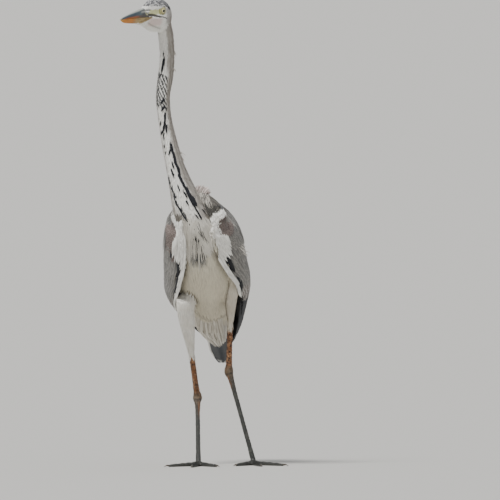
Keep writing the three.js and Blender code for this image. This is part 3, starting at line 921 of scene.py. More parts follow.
def scaled_skin():
    """Leg skin: small netted scales, each a little domed, waxy where they catch the light."""
    material, tree, principled = new_material("scaled_leg_skin", 0.5)
    place = add(tree, "ShaderNodeTexCoord").outputs["Object"]
    # scales about 2.4 mm across
    cells = add(tree, "ShaderNodeTexVoronoi", {"Vector": place}, feature="DISTANCE_TO_EDGE", in_Scale=420.0)
    edge = cells.outputs["Distance"]
    ramp = add(tree, "ShaderNodeMapRange", {"Value": edge}, in_2=0.12, in_3=0.55, in_4=1.05)
    shade = ramp.outputs["Result"]
    finish_surface(tree, principled, shade, shade, 0.6, 0.4 * MM)
    return material


FEATHER = plumage()
# Down and skin between the feathers: dull, with no shine at all.
DOWN = mottled("downy_skin", 0.95, 1.5, 0.8, 1.02, 0.3)
# Bare lores and lids: thin waxy skin with a fine grain.
BARE_FACE = mottled("bare_face_skin", 0.55, 0.9, 0.86, 1.08, 0.2)
LEG_SKIN = scaled_skin()
# Bill sheath: keratin, worn smooth, with long faint grain and a soft gloss.
HORN = mottled("bill_keratin", 0.46, 5.0, 0.84, 1.12, 0.15)
CLAW_HORN = mottled("claw_keratin", 0.4, 2.0, 0.8, 1.1, 0.1)
# Wet cornea over the iris: clear and very smooth.
EYE = mottled("wet_cornea", 0.07, 0.5, 0.9, 1.08, 0.0, Specular_IOR_Level=0.35)


# ---------------------------------------------------------------- making pieces
def place_in_frame(mesh):
    mesh.transform(Matrix.Translation(Vector(ORIGIN)) @ Matrix.Scale(MM, 4))


def paint(mesh, colours):
    layer = mesh.attributes.new("Plumage", "FLOAT_COLOR", "POINT")
    flat = np.ones((len(mesh.vertices), 4), np.float32)
    flat[:, :3] = np.clip(colours, 0, 1)
    layer.data.foreach_set("color", flat.ravel())


def piece(name, mesh, slot, materials, *nodes):
    """Puts a finished mesh in the scene as a piece of the bird."""
    made = bpy.data.objects.new(name, mesh)
    bpy.context.scene.collection.objects.link(made)
    for material in materials:
        mesh.materials.append(material)
    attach(made, "root")
    if nodes:
        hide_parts(*nodes)
    return made


# ---------------------------------------------------------------- skin piece
def lower_horn(h):
    """The lower bill's horn: orange in front, then olive beige with brown streaks back to the cheek."""
    y = h[:, 1]
    streak = cloud(h * [1, 0.12, 1], 1.6, 8)
    colour = mix("#c67a18", "#ab9562", ease(-98, -78, y + 5 * streak) * 0.95)
    colour = mix(colour, "#8f7d56", ease(-74, -44, y) * 0.6)
    return mix(colour, "#6b4a28", np.clip(1.5 * streak, 0, 0.6) * ease(-104, -84, y))


def skin_colours():
    colour = markings(SKIN.co, SKIN_PART)
    h = to_head(SKIN.co)
    head = SKIN_PART == PARTS.index("head")
    y, z = h[:, 1], h[:, 2]
    blotch = cloud(h, 4.0, 21)[:, None]
    lore = np.where(y[:, None] > -14, linear("#a8a463"), LORE) * (1 + 0.12 * blotch)
    colour = mix(colour, lore, lore_share(h) * head)
    colour = mix(colour, lower_horn(h), jaw_horn(h) * head)
    colour = mix(colour, "#2c2722", 0.92 * gape_band(h) * head)
    r, along, _ = eye_distance(h)
    lid = ease(LID_RADIUS + 3.2, LID_RADIUS + 1.4, r) * (along > -2) * head
    colour = mix(colour, "#d3cfa6", lid)
    up_back = (np.arctan2(z, y) - math.radians(25)) % (2 * math.pi)
    arcs = np.maximum(bell(up_back, 0.6, 0.5), bell(up_back, 3.9, 0.7)) * bell(r, LID_RADIUS + 2.6, 1.1)
    colour = mix(colour, "#4f4c2c", 0.9 * arcs * head * (along > -3))
    edge = bell(r, LID_RADIUS + 0.1, 0.45) * head * (along > -2)
    colour = mix(colour, "#3f3b28", 0.75 * edge)
    line = bell(z - gape_height(y), 0, 0.8) * ease(-58, -50, y) * ease(12, 8, y) * head
    colour = mix(colour, "#1f1c1a", np.clip(1.3 * line, 0, 1))
    colour = mix(colour, NOSTRIL_DARK, nostril_marks(h) * head)
    bare = ((lore_share(h) > 0.5) | (gape_band(h) > 0.5) | (jaw_horn(h) > 0.5)
            | (r < LID_RADIUS + 2.4) & (along > -2)) & head
    return colour, bare


def make_skin_piece():
    mesh = from_bmesh("skin", SKIN.bm)
    colour, bare = skin_colours()
    paint(mesh, colour)
    kind = np.where(SKIN_PART == PARTS.index("leg"), 2, np.where(bare, 1, 0))
    for polygon in mesh.polygons:
        polygon.material_index = int(kind[polygon.vertices[0]])
    mesh.shade_smooth()
    place_in_frame(mesh)
    piece("skin", mesh, "white_plumage", (DOWN, BARE_FACE, LEG_SKIN), *sum(FLESH.values(), ()))


make_skin_piece()


# ---------------------------------------------------------------- bill
def wrapped_tube(rings, sides, place):
    """A closed tube made from a grid: place(i, j) gives the point at ring i and share j round it."""
    bm = bmesh.new()
    bmesh.ops.create_grid(bm, x_segments=sides, y_segments=rings - 1, size=1)
    for vert in bm.verts:
        i = round((vert.co.y + 1) / 2 * (rings - 1))
        j = round((vert.co.x + 1) / 2 * sides) % sides
        vert.co = place(i, j / sides)
    bmesh.ops.remove_doubles(bm, verts=bm.verts, dist=1e-4)
    bmesh.ops.holes_fill(bm, edges=[e for e in bm.edges if e.is_boundary], sides=0)
    bmesh.ops.recalc_face_normals(bm, faces=bm.faces)
    return bm


MOUTH = -9.8
# Stations of [y, mouth line, half width, height] forwards from the eye line.
UPPER_BILL = np.array([
    [-33, MOUTH, 9.2, 14.6], [-54, MOUTH, 8.7, 15.2], [-79, MOUTH - 0.3, 6.5, 11.3],
    [-104, MOUTH - 0.9, 4.4, 7.2], [-125, MOUTH - 1.9, 2.2, 3.2], [-134.3, MOUTH - 2.7, 0.7, 0.7],
], float)
LOWER_BILL = np.array([
    [0, MOUTH - 4, 9.6, 5.6], [-36, MOUTH - 1, 9.2, 9.2], [-71, MOUTH - 1.3, 6.8, 9.8],
    [-101, MOUTH - 1.9, 4.6, 8.5], [-123, MOUTH - 2.8, 2.6, 5.6], [-132.6, MOUTH - 3.6, 0.7, 0.7],
], float)
BILL_RINGS = 72
BILL_SIDES = 40


def bill_form(stations, up):
    """One mandible, ridged along the middle: up is 1 for the upper one and -1 for the lower one."""
    section = spline(stations, np.linspace(0, 1, BILL_RINGS))

    def point(i, share):
        y, mouth, wide, high = section[i]
        angle = 2 * math.pi * share
        side = math.copysign(abs(math.cos(angle)) ** 1.06, math.cos(angle))
        rise = math.sin(angle)
        if rise < 0:  # the closed cutting face between the mandibles, slightly hollow
            return (wide * side * 0.97, y, mouth - up * 0.42)
        x = wide * side
        z = high * rise**1.15
        if up > 0:
            groove = math.exp(-(((rise - 0.52) / 0.1) ** 2)) * ease(-100, -84, y) * ease(-38, -48, y)
            x -= math.copysign(1.1 * float(groove), side)
            slit = math.exp(-(((rise - 0.52) / 0.06) ** 2)) * ease(-70, -66, y) * ease(-50, -54, y)
            x -= math.copysign(1.5 * float(slit), side)
            z -= 0.25 * float(groove)
        lip = math.exp(-((rise / 0.16) ** 2))
        x += math.copysign(0.25 * lip, side) * (wide / 9)
        return (x, y, mouth + up * z)

    return wrapped_tube(BILL_RINGS, BILL_SIDES, point)


def upper_bill_colour(h):
    """Slate sides, paler along the top of the ridge, brown-orange cutting edge and a dark groove at the
    nostril.
    """
    y, z = h[:, 1], h[:, 2]
    mouth = np.interp(y, UPPER_BILL[::-1, 0], UPPER_BILL[::-1, 1])
    high = np.interp(y, UPPER_BILL[::-1, 0], UPPER_BILL[::-1, 3])
    up = (z - mouth) / np.maximum(high, 0.5)
    colour = mix("#44535d", "#66706f", ease(-90, -50, y) * 0.7)
    side_band = bell(up, 0.36, 0.12) * ease(-122, -112, y) * ease(-70, -90, y)
    colour = mix(colour, "#232d33", 0.7 * side_band)
    colour = mix(colour, "#a9aba0", ease(0.78, 0.97, up) * ease(-45, -60, y))
    edge = ease(0.36, 0.1, up) * ease(-126, -112, y) * ease(-62, -80, y)
    colour = mix(colour, "#a85a20", 0.95 * edge)
    base = ease(0.42, 0.22, up) * ease(-88, -66, y)
    colour = mix(colour, "#4b423a", 0.85 * base)
    colour = mix(colour, "#c9b98d", 0.75 * ease(-126, -136, y))
    groove = bell(up, 0.45, 0.075) * ease(-66, -60, y) * ease(-42, -47, y)
    colour = mix(colour, NOSTRIL_DARK, np.clip(1.3 * groove, 0, 1))
    second = bell(up, 0.8, 0.06) * ease(-70, -64, y) * ease(-38, -44, y)
    colour = mix(colour, "#23262b", np.clip(1.2 * second, 0, 1))
    pale = bell(up, 0.62, 0.07) * ease(-68, -62, y) * ease(-38, -44, y)
    colour = mix(colour, "#e6e4da", 0.9 * pale)
    return mix(colour, LORE, 0.85 * ease(-53, -48, y) * ease(0.15, 0.3, up) * ease(0.75, 0.65, up))


def lower_bill_colour(h):
    """Bright orange from the tip to the middle, horn-olive behind it, with a dusky edge below."""
    y, z = h[:, 1], h[:, 2]
    grain = cloud(h * [1, 0.25, 1], 2.2, 8)
    colour = lower_horn(h)
    colour = mix(colour, "#e0b55c", 0.5 * ease(-122, -134, y))
    low = (np.interp(y, LOWER_BILL[::-1, 0], LOWER_BILL[::-1, 1]) - z) / 9
    colour = mix(colour, "#8a4a12", 0.75 * ease(0.7, 0.98, low) * ease(-70, -96, y))
    return mix(colour, "#6e4a22", np.clip(0.35 * grain, 0, 0.4))


def make_bills():
    for name, stations, up, painter in (
        ("upper", UPPER_BILL, 1, upper_bill_colour), ("lower", LOWER_BILL, -1, lower_bill_colour)
    ):
        bm = bill_form(stations, up)
        h = places_of(bm.verts)
        mesh = from_bmesh(f"bill_{name}", bm)
        paint(mesh, painter(h))
        mesh.shade_smooth()
        mesh.vertices.foreach_set("co", from_head(h).ravel())
        place_in_frame(mesh)
        piece(f"bill_{name}_horn", mesh, f"{name}_bill_horn", (HORN,), f"bill_{name}")


make_bills()


# ---------------------------------------------------------------- eyes
IRIS = 4.9
PUPIL = 2.55


def make_eyes():
    for side, turn in SIDES.items():
        bm = bmesh.new()
        bmesh.ops.create_uvsphere(bm, u_segments=48, v_segments=32, radius=EYE_RADIUS)
        local = places_of(bm.verts)
        r = np.linalg.norm(local[:, :2], axis=1)
        front = local[:, 2] > 0
        local[:, 2] += 0.35 * bell(r, 0, 3.4) * front
        iris = mix("#ece6bd", "#cdbf74", ease(2.9, 4.7, r))
        colour = mix("#2a2622", iris, ease(IRIS + 0.25, IRIS - 0.1, r) * front)
        colour = mix(colour, "#060606", ease(PUPIL + 0.18, PUPIL - 0.1, r) * front)
        mesh = from_bmesh(f"eye_{side}", bm)
        paint(mesh, colour)
        mesh.shade_smooth()
        turned = np.array(Vector((0, 0, 1)).rotation_difference(Vector(EYE_AIM[side])).to_matrix())
        h = local @ turned.T + np.array([turn * EYE_OUT, 0, 0])
        mesh.vertices.foreach_set("co", from_head(h).ravel())
        place_in_frame(mesh)
        piece(f"eyeball_{side}", mesh, "eyeball", (EYE,), f"eye_{side}")


make_eyes()


# ---------------------------------------------------------------- claws
def make_claws():
    for side in SIDES:
        nodes = [f"claw_{toe}_{side}" for toe in TOES]
        bm = copied(nodes)
        bmesh.ops.recalc_face_normals(bm, faces=bm.faces)
        mesh = with_modifier(from_bmesh("claws", bm), "SUBSURF", levels=2, render_levels=2)
        co = places_of(mesh.vertices)
        co[:, 2] = np.maximum(co[:, 2], 0)
        mesh.vertices.foreach_set("co", co.ravel())
        paint(mesh, mix("#2b2622", "#6b6052", 0.5 + 0.5 * cloud(co, 4, 9)))
        mesh.shade_smooth()
        place_in_frame(mesh)
        piece(f"claws_{side}", mesh, "claw_horn", (CLAW_HORN,), *nodes)


make_claws()


# ---------------------------------------------------------------- feathers as solid vanes
BAKE_PATCH = 0.003  # how wide one feather's own patch is on the OFBake map
# Outlines of feathers: share of the length, share of the width.
SHORT = ((0, 0.45), (0.36, 1.0), (0.76, 0.78), (1, 0))
POINTED = ((0, 0.5), (0.2, 1.0), (0.5, 0.9), (0.8, 0.5), (1, 0))
BROAD = ((0, 0.4), (0.14, 0.85), (0.4, 1.0), (0.7, 1.0), (0.9, 0.78), (0.97, 0.5), (1, 0))
ROOT_DEPTH = 0.5  # how far a feather's root sits in the skin
PLUME = ((0, 0.6), (0.15, 1.0), (0.35, 0.95), (0.55, 0.8), (0.75, 0.55), (0.9, 0.3), (1, 0))


def vane_mesh(name, line, side, up, half, rise, middle_colour, edge_colour, patch):
    """Joined closed vanes. Each runs along its centre line and ends in a point; a section is a low roof with
    a ridge. line, side and up are N x K x 3, half and rise N x K, colours N x K x 3, patch N x 2."""
    count, steps = half.shape
    rings = steps - 1
    size = 3 * rings + 1
    co = np.empty((count, size, 3))
    colour = np.empty((count, size, 3))
    width = side * half[..., None]
    co[:, 0:-1:3] = (line - width)[:, :-1]
    co[:, 1:-1:3] = (line + up * rise[..., None])[:, :-1]
    co[:, 2:-1:3] = (line + width)[:, :-1]
    co[:, -1] = line[:, -1]
    colour[:, 0:-1:3] = colour[:, 2:-1:3] = edge_colour[:, :-1]
    colour[:, 1:-1:3] = middle_colour[:, :-1]
    colour[:, -1] = edge_colour[:, -1]
    faces = []
    for r in range(rings - 1):
        a = 3 * r
        faces += [(a, a + 1, a + 4, a + 3), (a + 1, a + 2, a + 5, a + 4), (a + 2, a, a + 3, a + 5)]
    a, tip = 3 * (rings - 1), size - 1
    faces += [(a, a + 1, tip), (a + 1, a + 2, tip), (a + 2, a, tip), (0, 2, 1)]
    corners = np.array(sum(faces, ()))
    sizes = np.array([len(f) for f in faces])
    share = np.linspace(0, 1, steps)
    uv = np.empty((size, 2))
    uv[:-1, 0] = np.tile([0, 0.5, 1], rings)
    uv[:-1, 1] = np.repeat(share[:-1], 3)
    uv[-1] = (0.5, 1)

    mesh = bpy.data.meshes.new(name)
    mesh.vertices.add(count * size)
    mesh.vertices.foreach_set("co", co.ravel())
    mesh.loops.add(count * len(corners))
    index = (np.arange(count)[:, None] * size + corners).ravel()
    mesh.loops.foreach_set("vertex_index", index.astype(np.int32))
    mesh.polygons.add(count * len(faces))
    starts = np.arange(count)[:, None] * len(corners) + np.concatenate([[0], np.cumsum(sizes)[:-1]])
    mesh.polygons.foreach_set("loop_start", starts.ravel().astype(np.int32))
    mesh.update(calc_edges=True)
    mesh.polygons.foreach_set("use_smooth", np.zeros(count * len(faces), bool))
    paint(mesh, colour.reshape(-1, 3))
    own = np.tile(uv[corners], (count, 1))
    mesh.uv_layers.new(name="Feather").data.foreach_set("uv", own.ravel())
    bake = np.repeat(patch, len(corners), 0) + (own - 0.5) * BAKE_PATCH
    mesh.uv_layers.new(name="OFBake").data.foreach_set("uv", np.clip(bake, 0, 1).ravel())
    return mesh


class Coat:
    """Vanes of one outline, gathered row by row and made into one mesh piece at the end."""

    def __init__(self, name, slot, outline, seed):
        self.name, self.slot = name, slot
        self.share, self.outline = np.array(outline).T
        self.rng = np.random.default_rng(seed)
        self.rows = []

    def lay(self, line, up, width, middle_colour, edge_colour, patch, thick=0.09):
        """Adds vanes along centre lines, with one full width each. The ups and the colours of ridge and rims
        come one to a vane or one to a step."""
        up, middle_colour, edge_colour = (
            np.broadcast_to(v[:, None] if v.ndim == 2 else v, line.shape)
            for v in (up, middle_colour, edge_colour)
        )
        along = np.gradient(line, axis=1)
        side = unit(np.cross(unit(along), up))
        half = 0.5 * width[:, None] * self.outline
        rise = thick * width[:, None] * (0.35 + 0.65 * self.outline)
        self.rows.append((line, side, up, half, rise, middle_colour, edge_colour, patch))

    def make(self, *nodes):
        parts = [np.concatenate(arrays) for arrays in zip(*self.rows)]
        mesh = vane_mesh(self.name, *parts)
        place_in_frame(mesh)
        return piece(self.name, mesh, self.slot, (FEATHER,), *nodes)


def nearest(points):
    """The nearest places on the skin and their normals, for any array of places."""
    found = [SKIN.tree.find_nearest(Vector(p)) for p in points.reshape(-1, 3).tolist()]
    return [np.array([f[k][:] for f in found]).reshape(points.shape) for k in (0, 1)]


def grow(coat, roots, normals, headings, length, lift):
    """Centre lines that creep over the skin from their roots, rising from just under it to `lift` at the
    tip."""
    share = coat.share
    place, normal, heading = roots.copy(), normals.copy(), headings.copy()
    line = np.empty((len(roots), len(share), 3))
    up = np.empty_like(line)
    height = lift[:, None] * share**0.75 - ROOT_DEPTH * (1 - share)
    for k in range(len(share)):
        if k:
            step = (share[k] - share[k - 1]) * length
            landed, facing = nearest(place + heading * step[:, None])
            normal = unit(0.4 * normal + 0.6 * facing)
            ahead = unit(landed - place)
            heading = unit(ahead - normal * (ahead * normal).sum(1, keepdims=True))
            place = landed
        line[:, k] = place + normal * height[:, [k]]
        up[:, k] = normal
    return line, up


def triangles():
    """The skin's faces as triangles, with their areas."""
    tris = np.array([
        (f.verts[0].index, f.verts[i].index, f.verts[i + 1].index)
        for f in SKIN.bm.faces for i in range(1, len(f.verts) - 1)
    ])
    a, b, c = (SKIN.co[tris[:, k]] for k in range(3))
    return tris, np.linalg.norm(np.cross(b - a, c - a), axis=1) / 2


TRIS, TRI_AREA = triangles()
TRI_CENTRE = SKIN.co[TRIS].mean(1)
TRI_PART = SKIN_PART[TRIS[:, 0]]
VERT_TREE = place_tree(SKIN.co)


def part_at(points):
    """The part of the skin under each place."""
    return np.array([SKIN_PART[VERT_TREE.find(p)[1]] for p in points.tolist()])


def scatter(coat, parts, spacing, keep=None):
    """Roots on parts of the skin, no two closer than spacing, a number or a function of place."""
    room = spacing if callable(spacing) else (lambda p: np.full(len(p), float(spacing)))
    here = np.flatnonzero(np.isin(TRI_PART, [PARTS.index(part) for part in parts]))
    weight = TRI_AREA[here] / room(TRI_CENTRE[here]) ** 2
    tries = int(4 * weight.sum())
    chosen = here[coat.rng.choice(len(here), tries, p=weight / weight.sum())]
    a, b = np.sqrt(coat.rng.random(tries)), coat.rng.random(tries)
    shares = np.stack([1 - a, a * (1 - b), a * b], 1)[..., None]
    places = (SKIN.co[TRIS[chosen]] * shares).sum(1)
    normals = unit((SKIN.normal[TRIS[chosen]] * shares).sum(1))
    if keep is not None:
        good = keep(places, normals)
        places, normals = places[good], normals[good]
    tree = place_tree(places)
    radius = room(places)
    free = np.ones(len(places), bool)
    kept = []
    for i, p in enumerate(places.tolist()):
        if free[i]:
            kept.append(i)
            for _, j, _ in tree.find_range(p, radius[i]):
                free[j] = False
    return places[kept], normals[kept]


def neck_downhill(points):
    """The direction in which the neck falls, at each place's height."""
    slope = np.gradient(NECK, axis=0)
    slope *= -np.sign(slope[:, 2])[:, None]
    return unit(np.stack([np.interp(points[:, 2], NECK[:, 2], slope[:, k]) for k in range(3)], 1))


def flow(points, part):
    """The way the coat lies at each place of a part."""
    if part == "head":
        h = to_head(points)
        d = unit(h - np.array([0, -72, -12]))
        drop = ease(18, 44, h[:, 1]) * 1.6 + ease(-16, -34, h[:, 2]) * 1.3
        d = unit(d + drop[:, None] * np.array([0, 0.15, -1]))
        return d @ HEAD_AXES.T
    if part == "neck":
        return neck_downhill(points)
    if part == "thigh":
        ways = {side: unit(np.subtract(leg["hock"], leg["knee"])) for side, leg in LEGS.items()}
        return np.where(points[:, :1] > 0, ways["left"], ways["right"])
    if part.startswith("wing") or part == "flight":
        out = np.empty_like(points)
        for side, turn in SIDES.items():
            mine = points[:, 0] * turn > 0
            if mine.any():
                t, w = WING[side].find(points[mine])
                out[mine] = unit(WING[side].at(t + 0.03, w)[0] - WING[side].at(t - 0.03, w)[0])
        return out
    slope = np.gradient(TRUNK, axis=0)
    return unit(np.stack([np.interp(points[:, 1], TRUNK[:, 1], slope[:, k]) for k in range(3)], 1))


def around(points, table, column):
    """Length along and turn round a table of stations, both as shares: an unwrap of a limb."""
    share = (points[:, column] - table[:, column].min()) / np.ptp(table[:, column])
    order = np.argsort(table[:, column])
    at = points[:, column]
    off = points - np.stack([np.interp(at, table[order, column], table[order, k]) for k in range(3)], 1)
    turn = np.arctan2(off[:, 0], off[:, 2] if column == 1 else -off[:, 1]) / (2 * math.pi) + 0.5
    return inset(turn, np.clip(share, 0, 1))


HEAD_TABLE = np.array([[0, -80, -12], [0, 48, -6]], float)
SHIN_TABLE = {side: np.array([leg["hock"], leg["knee"]], float) for side, leg in LEGS.items()}


def unwrap(points, part):
    """Where each place lies on an unwrap of its own part of the skin, from 0 to 1 both ways."""
    if part == "head":
        return around(to_head(points), HEAD_TABLE, 1)
    if part == "neck":
        return around(points, NECK, 2)
    if part == "thigh":
        left = points[:, 0] > 0
        sides = (around(points, SHIN_TABLE[side], 2) for side in ("left", "right"))
        both = np.where(left[:, None], *sides)
        both[:, 0] = 0.5 * both[:, 0] + 0.5 * left
        return both
    if part.startswith("wing"):
        side = part[5:]
        t, w = WING[side].find(points)
        return inset(w / WING[side].full(t), t)
    return around(points, TRUNK, 1)


def cover(
    coat, part, spacing, length, width, lift, keep=None, restless=0.12, lighten=0.05, root_shade=0.14, colour=None,
    parts=None, heading=None, crossing=False,
):
    """Lays a part's small feathers: scattered roots, each vane following the lie of the coat. Only feathers
    of the wing end on a wing, unless crossing is set."""
    roots, normals = scatter(coat, parts or (part,), spacing, keep)
    rng = coat.rng
    heading = flow(roots, part) if heading is None else heading(roots)
    heading = heading - normals * (heading * normals).sum(1, keepdims=True)
    sway = np.cross(normals, heading) * rng.normal(0, restless, (len(roots), 1))
    heading = unit(heading + sway)
    long, wide, high = (
        v(roots) if callable(v) else np.full(len(roots), float(v)) for v in (length, width, lift)
    )
    long = long * rng.uniform(0.85, 1.15, len(roots))
    high = high * rng.uniform(0.8, 1.25, len(roots))
    line, up = grow(coat, roots, normals, heading, long, high)
    home = [PARTS.index(p) for p in ("wing_left", "wing_right")]
    lands_on_wing = np.isin(part_at(line[:, -1]), home)
    good = ~lands_on_wing | np.isin(part_at(roots), home) | crossing
    roots, line, up, wide = roots[good], line[good], up[good], wide[good]
    middle_place = line[:, len(coat.share) // 2]
    base = markings(middle_place, PARTS.index(part)) if colour is None else colour(middle_place)
    base = base * rng.uniform(0.93, 1.05, (len(roots), 1))
    # painted shade: each vane darker towards its root, which lies in the shade of the vane over it
    shaded = base[:, None] * (1 - root_shade + (root_shade + 0.03) * coat.share)[None, :, None]
    edge = np.clip(shaded + lighten * coat.share[None, :, None], 0, 1)
    coat.lay(line, up, wide, np.clip(shaded, 0, 1), edge, unwrap(roots, part))


def feathered(points):
    """True where the face has feathers: off the lores, the lids and the gape line."""
    h = to_head(points)
    r, along, _ = eye_distance(h)
    on_lid = (r < LID_RADIUS + 1.9) & (along > -3)
    return ~(on_lid | (lore_share(h) > 0.4) | (gape_band(h) > 0.4) | (jaw_horn(h) > 0.4))


def make_small_coats():
    head = Coat("coat_head", "white_plumage", SHORT, 11)
    size = lambda p: 1.15 + 0.4 * ease(-40, 10, to_head(p)[:, 1])
    cover(head, "head", size, lambda p: 3.6 * size(p), lambda p: 1.3 * size(p), 0.8, root_shade=0.07,
          keep=lambda p, n: feathered(p) & (crown_share(to_head(p)) < 0.5))
    head.make()
    crown = Coat("coat_crown", "grey_plumage", SHORT, 10)
    cover(crown, "head", 1.9, 5.5, 2.6, 1.2, root_shade=0.4, lighten=0.5,
          keep=lambda p, n: crown_share(to_head(p)) >= 0.5)
    crown.make()
    for name, seed, low, high in (("coat_neck_upper", 12, 628, 900), ("coat_neck_lower", 13, 0, 628)):
        neck = Coat(name, "white_plumage", SHORT, seed)
        room = lambda p: 1.75 + 1.0 * ease(560, 430, p[:, 2])
        cover(neck, "neck", room, lambda p: 4.6 * room(p), lambda p: 1.15 * room(p), 1.3, root_shade=0.06,
              keep=lambda p, n: (p[:, 2] >= low) & (p[:, 2] < high))
        neck.make()
    for name, part, seed, root_shade, sizes in (
        ("coat_trunk", "trunk", 14, 0.04, (2.7, 19, 3.4, 1.9)),
        ("coat_thighs", "thigh", 15, 0.05, (2.0, 12, 2.3, 1.2)),
    ):
        coat = Coat(name, "white_plumage", POINTED, seed)
        cover(coat, part, *sizes, restless=0.14, root_shade=root_shade, lighten=0.02)
        coat.make()
    for side in SIDES:
        wing = Coat(f"coat_wing_{side}", "white_plumage", SHORT, 16 + (side == "left"))
        front = lambda p, n: WING[side].find(p)[0] < 0.34
        cover(wing, f"wing_{side}", 2.6, 12, 4.2, 1.4, keep=front, root_shade=0.08)
        wing.make()


make_small_coats()


# ---------------------------------------------------------------- the wings' own feathers
def on_wing(coat, side, t, w, length, width, drift, low, high, middle_colour, edge_colour):
    """Lays feathers over a wing from roots at t and w. drift is how far each strays up the wing for each
    millimetre along, low and high its height off the wing's face at root and tip."""
    wing = WING[side]
    share = coat.share[None, :]
    gone = length[:, None] * share
    tt = wing.ahead(t[:, None] + 0 * share, gone)
    ww = w[:, None] + drift[:, None] * gone
    place, up = wing.at(tt, ww)
    height = low[:, None] + (high - low)[:, None] * share**0.7
    patch = inset(np.clip(w / wing.full(t), 0, 1), t)
    coat.lay(place + up * height[..., None], up, width, middle_colour, edge_colour, patch, 0.07)


def wing_row(
    coat, side, first, last, pitch, length, width, root, tip, fringe, drift=(0, 0), low=-2.3, high=0.1
):
    """A row of overlapping feathers, its roots from one (t, w) to another. Pairs give both ends' values."""
    rng = coat.rng
    count = max(2, int(abs(last[1] - first[1]) / pitch))
    s = (np.arange(count) + rng.uniform(-0.25, 0.25, count) + 0.5) / count
    pair = lambda v: v[0] + (v[1] - v[0]) * s
    t = pair((first[0], last[0])) + rng.uniform(-0.006, 0.006, count)
    w = pair((first[1], last[1]))
    long = pair(length) * rng.uniform(0.9, 1.1, count)
    wide = pair(width) * rng.uniform(0.92, 1.08, count)
    stray = pair(drift) + rng.normal(0, 0.015, count)
    tilt = 0.25 * (np.arange(count) % 3) + rng.uniform(0, 0.2, count)
    share = coat.share[None, :, None]
    tone = rng.uniform(0.78, 1.16, (count, 1, 1))
    middle = (root * (1 - share) + tip * share) * tone
    edge = middle * 0.45 + fringe * 0.55 * (0.4 + 0.6 * share) + middle * 0.55 * 0.6 * (1 - share)
    on_wing(coat, side, t, w, long, wide, stray, low + tilt * 0.4, high + tilt, middle, edge)


GREY_DARK = linear("#504f4d")
GREY_MID = linear("#757370")
GREY_LIGHT = linear("#b5b1a8")
BROWN_TIP = linear("#54443e")


def covert_rows(side):
    """Grey coverts in rows over the middle of the wing, the last ones brown with white fringes."""
    coat = Coat(f"coverts_{side}", "grey_plumage", BROAD, 31 + (side == "left"))
    edges = WHITE_EDGE[side]
    end = {"left": 0.655, "right": 0.64}[side]
    rows = np.arange(end, 0.2, -0.033)
    for k, t in enumerate(rows):
        full = WING[side].full(t)
        low = np.interp(t + 0.05, *edges) + (9 if t < 0.46 else 4)
        last = k < 3
        root, tip = (GREY_MID, BROWN_TIP) if last else (GREY_DARK, GREY_MID)
        long = (46, 64) if last else (44, 56)
        wing_row(coat, side, (t, low), (t + 0.01, full * 0.62), 7.0, long, (8.5, 11), root, tip,
                 WHITE if last else GREY_LIGHT, (0.02, 0.0))
        wing_row(coat, side, (t + 0.01, full * 0.6), (t, full * 0.97), 8.5, (60, 66), (11, 13), GREY_DARK,
                 GREY_MID, GREY_LIGHT, (0.0, -0.04))
    coat.make()


def black_rows(side):
    """Black flight feathers, stacked from the tip back to where the coverts hide them."""
    coat = Coat(f"flight_feathers_{side}", "black_plumage", BROAD, 33 + (side == "left"))
    sheen = linear("#2c2f36")
    for t in np.arange(0.9, 0.63, -0.03):
        full = WING[side].full(t)
        low = 0 if t > 0.7 else 8
        wing_row(coat, side, (t, low), (t, full * 0.97), 8.5, (58, 70), (10, 12), BLACK, BLACK, sheen,
                 low=-2.4, high=-0.3)
    coat.make()


def white_strip(side):
    """White feathers of the leading edge: a fan over the coverts and a narrow strip along the lower edge."""
    coat = Coat(f"white_edge_{side}", "white_plumage", POINTED, 35 + (side == "left"))
    edges, breast = WHITE_EDGE[side], BREAST_EDGE[side]
    for t in np.arange(0.66, 0.0, -0.02):
        edge = np.interp(t + 0.04, *edges)
        low = max(-3.0, np.interp(t + 0.05, *breast))
        if edge - low > 2:
            edge = max(edge * (coat.rng.uniform(0.7, 1.2) if t > 0.28 else 1), low + 5.6)
            wing_row(coat, side, (t, low), (t, edge), 2.7, (22, 25), (4.2, 4.8), WHITE, WHITE * 0.95,
                     WHITE, (-0.01, 0.03), low=-2.0, high=1.0)
    fan = {
        "left": (
            (0.12, 30), (0.15, 34), (0.19, 35), (0.23, 33), (0.26, 30), (0.29, 29), (0.31, 26), (0.32, 20),
        ),
        "right": ((0.1, 21), (0.14, 25), (0.175, 27), (0.2, 28), (0.22, 27), (0.24, 22), (0.25, 17)),
    }[side]
    for t, w in fan:
        wing_row(coat, side, (t, w - 8), (t, w), 2.4, (26, 36), (4.0, 4.8), WHITE, WHITE, WHITE,
                 (-0.02, 0.03), low=-1.6, high=1.6)
    coat.make()


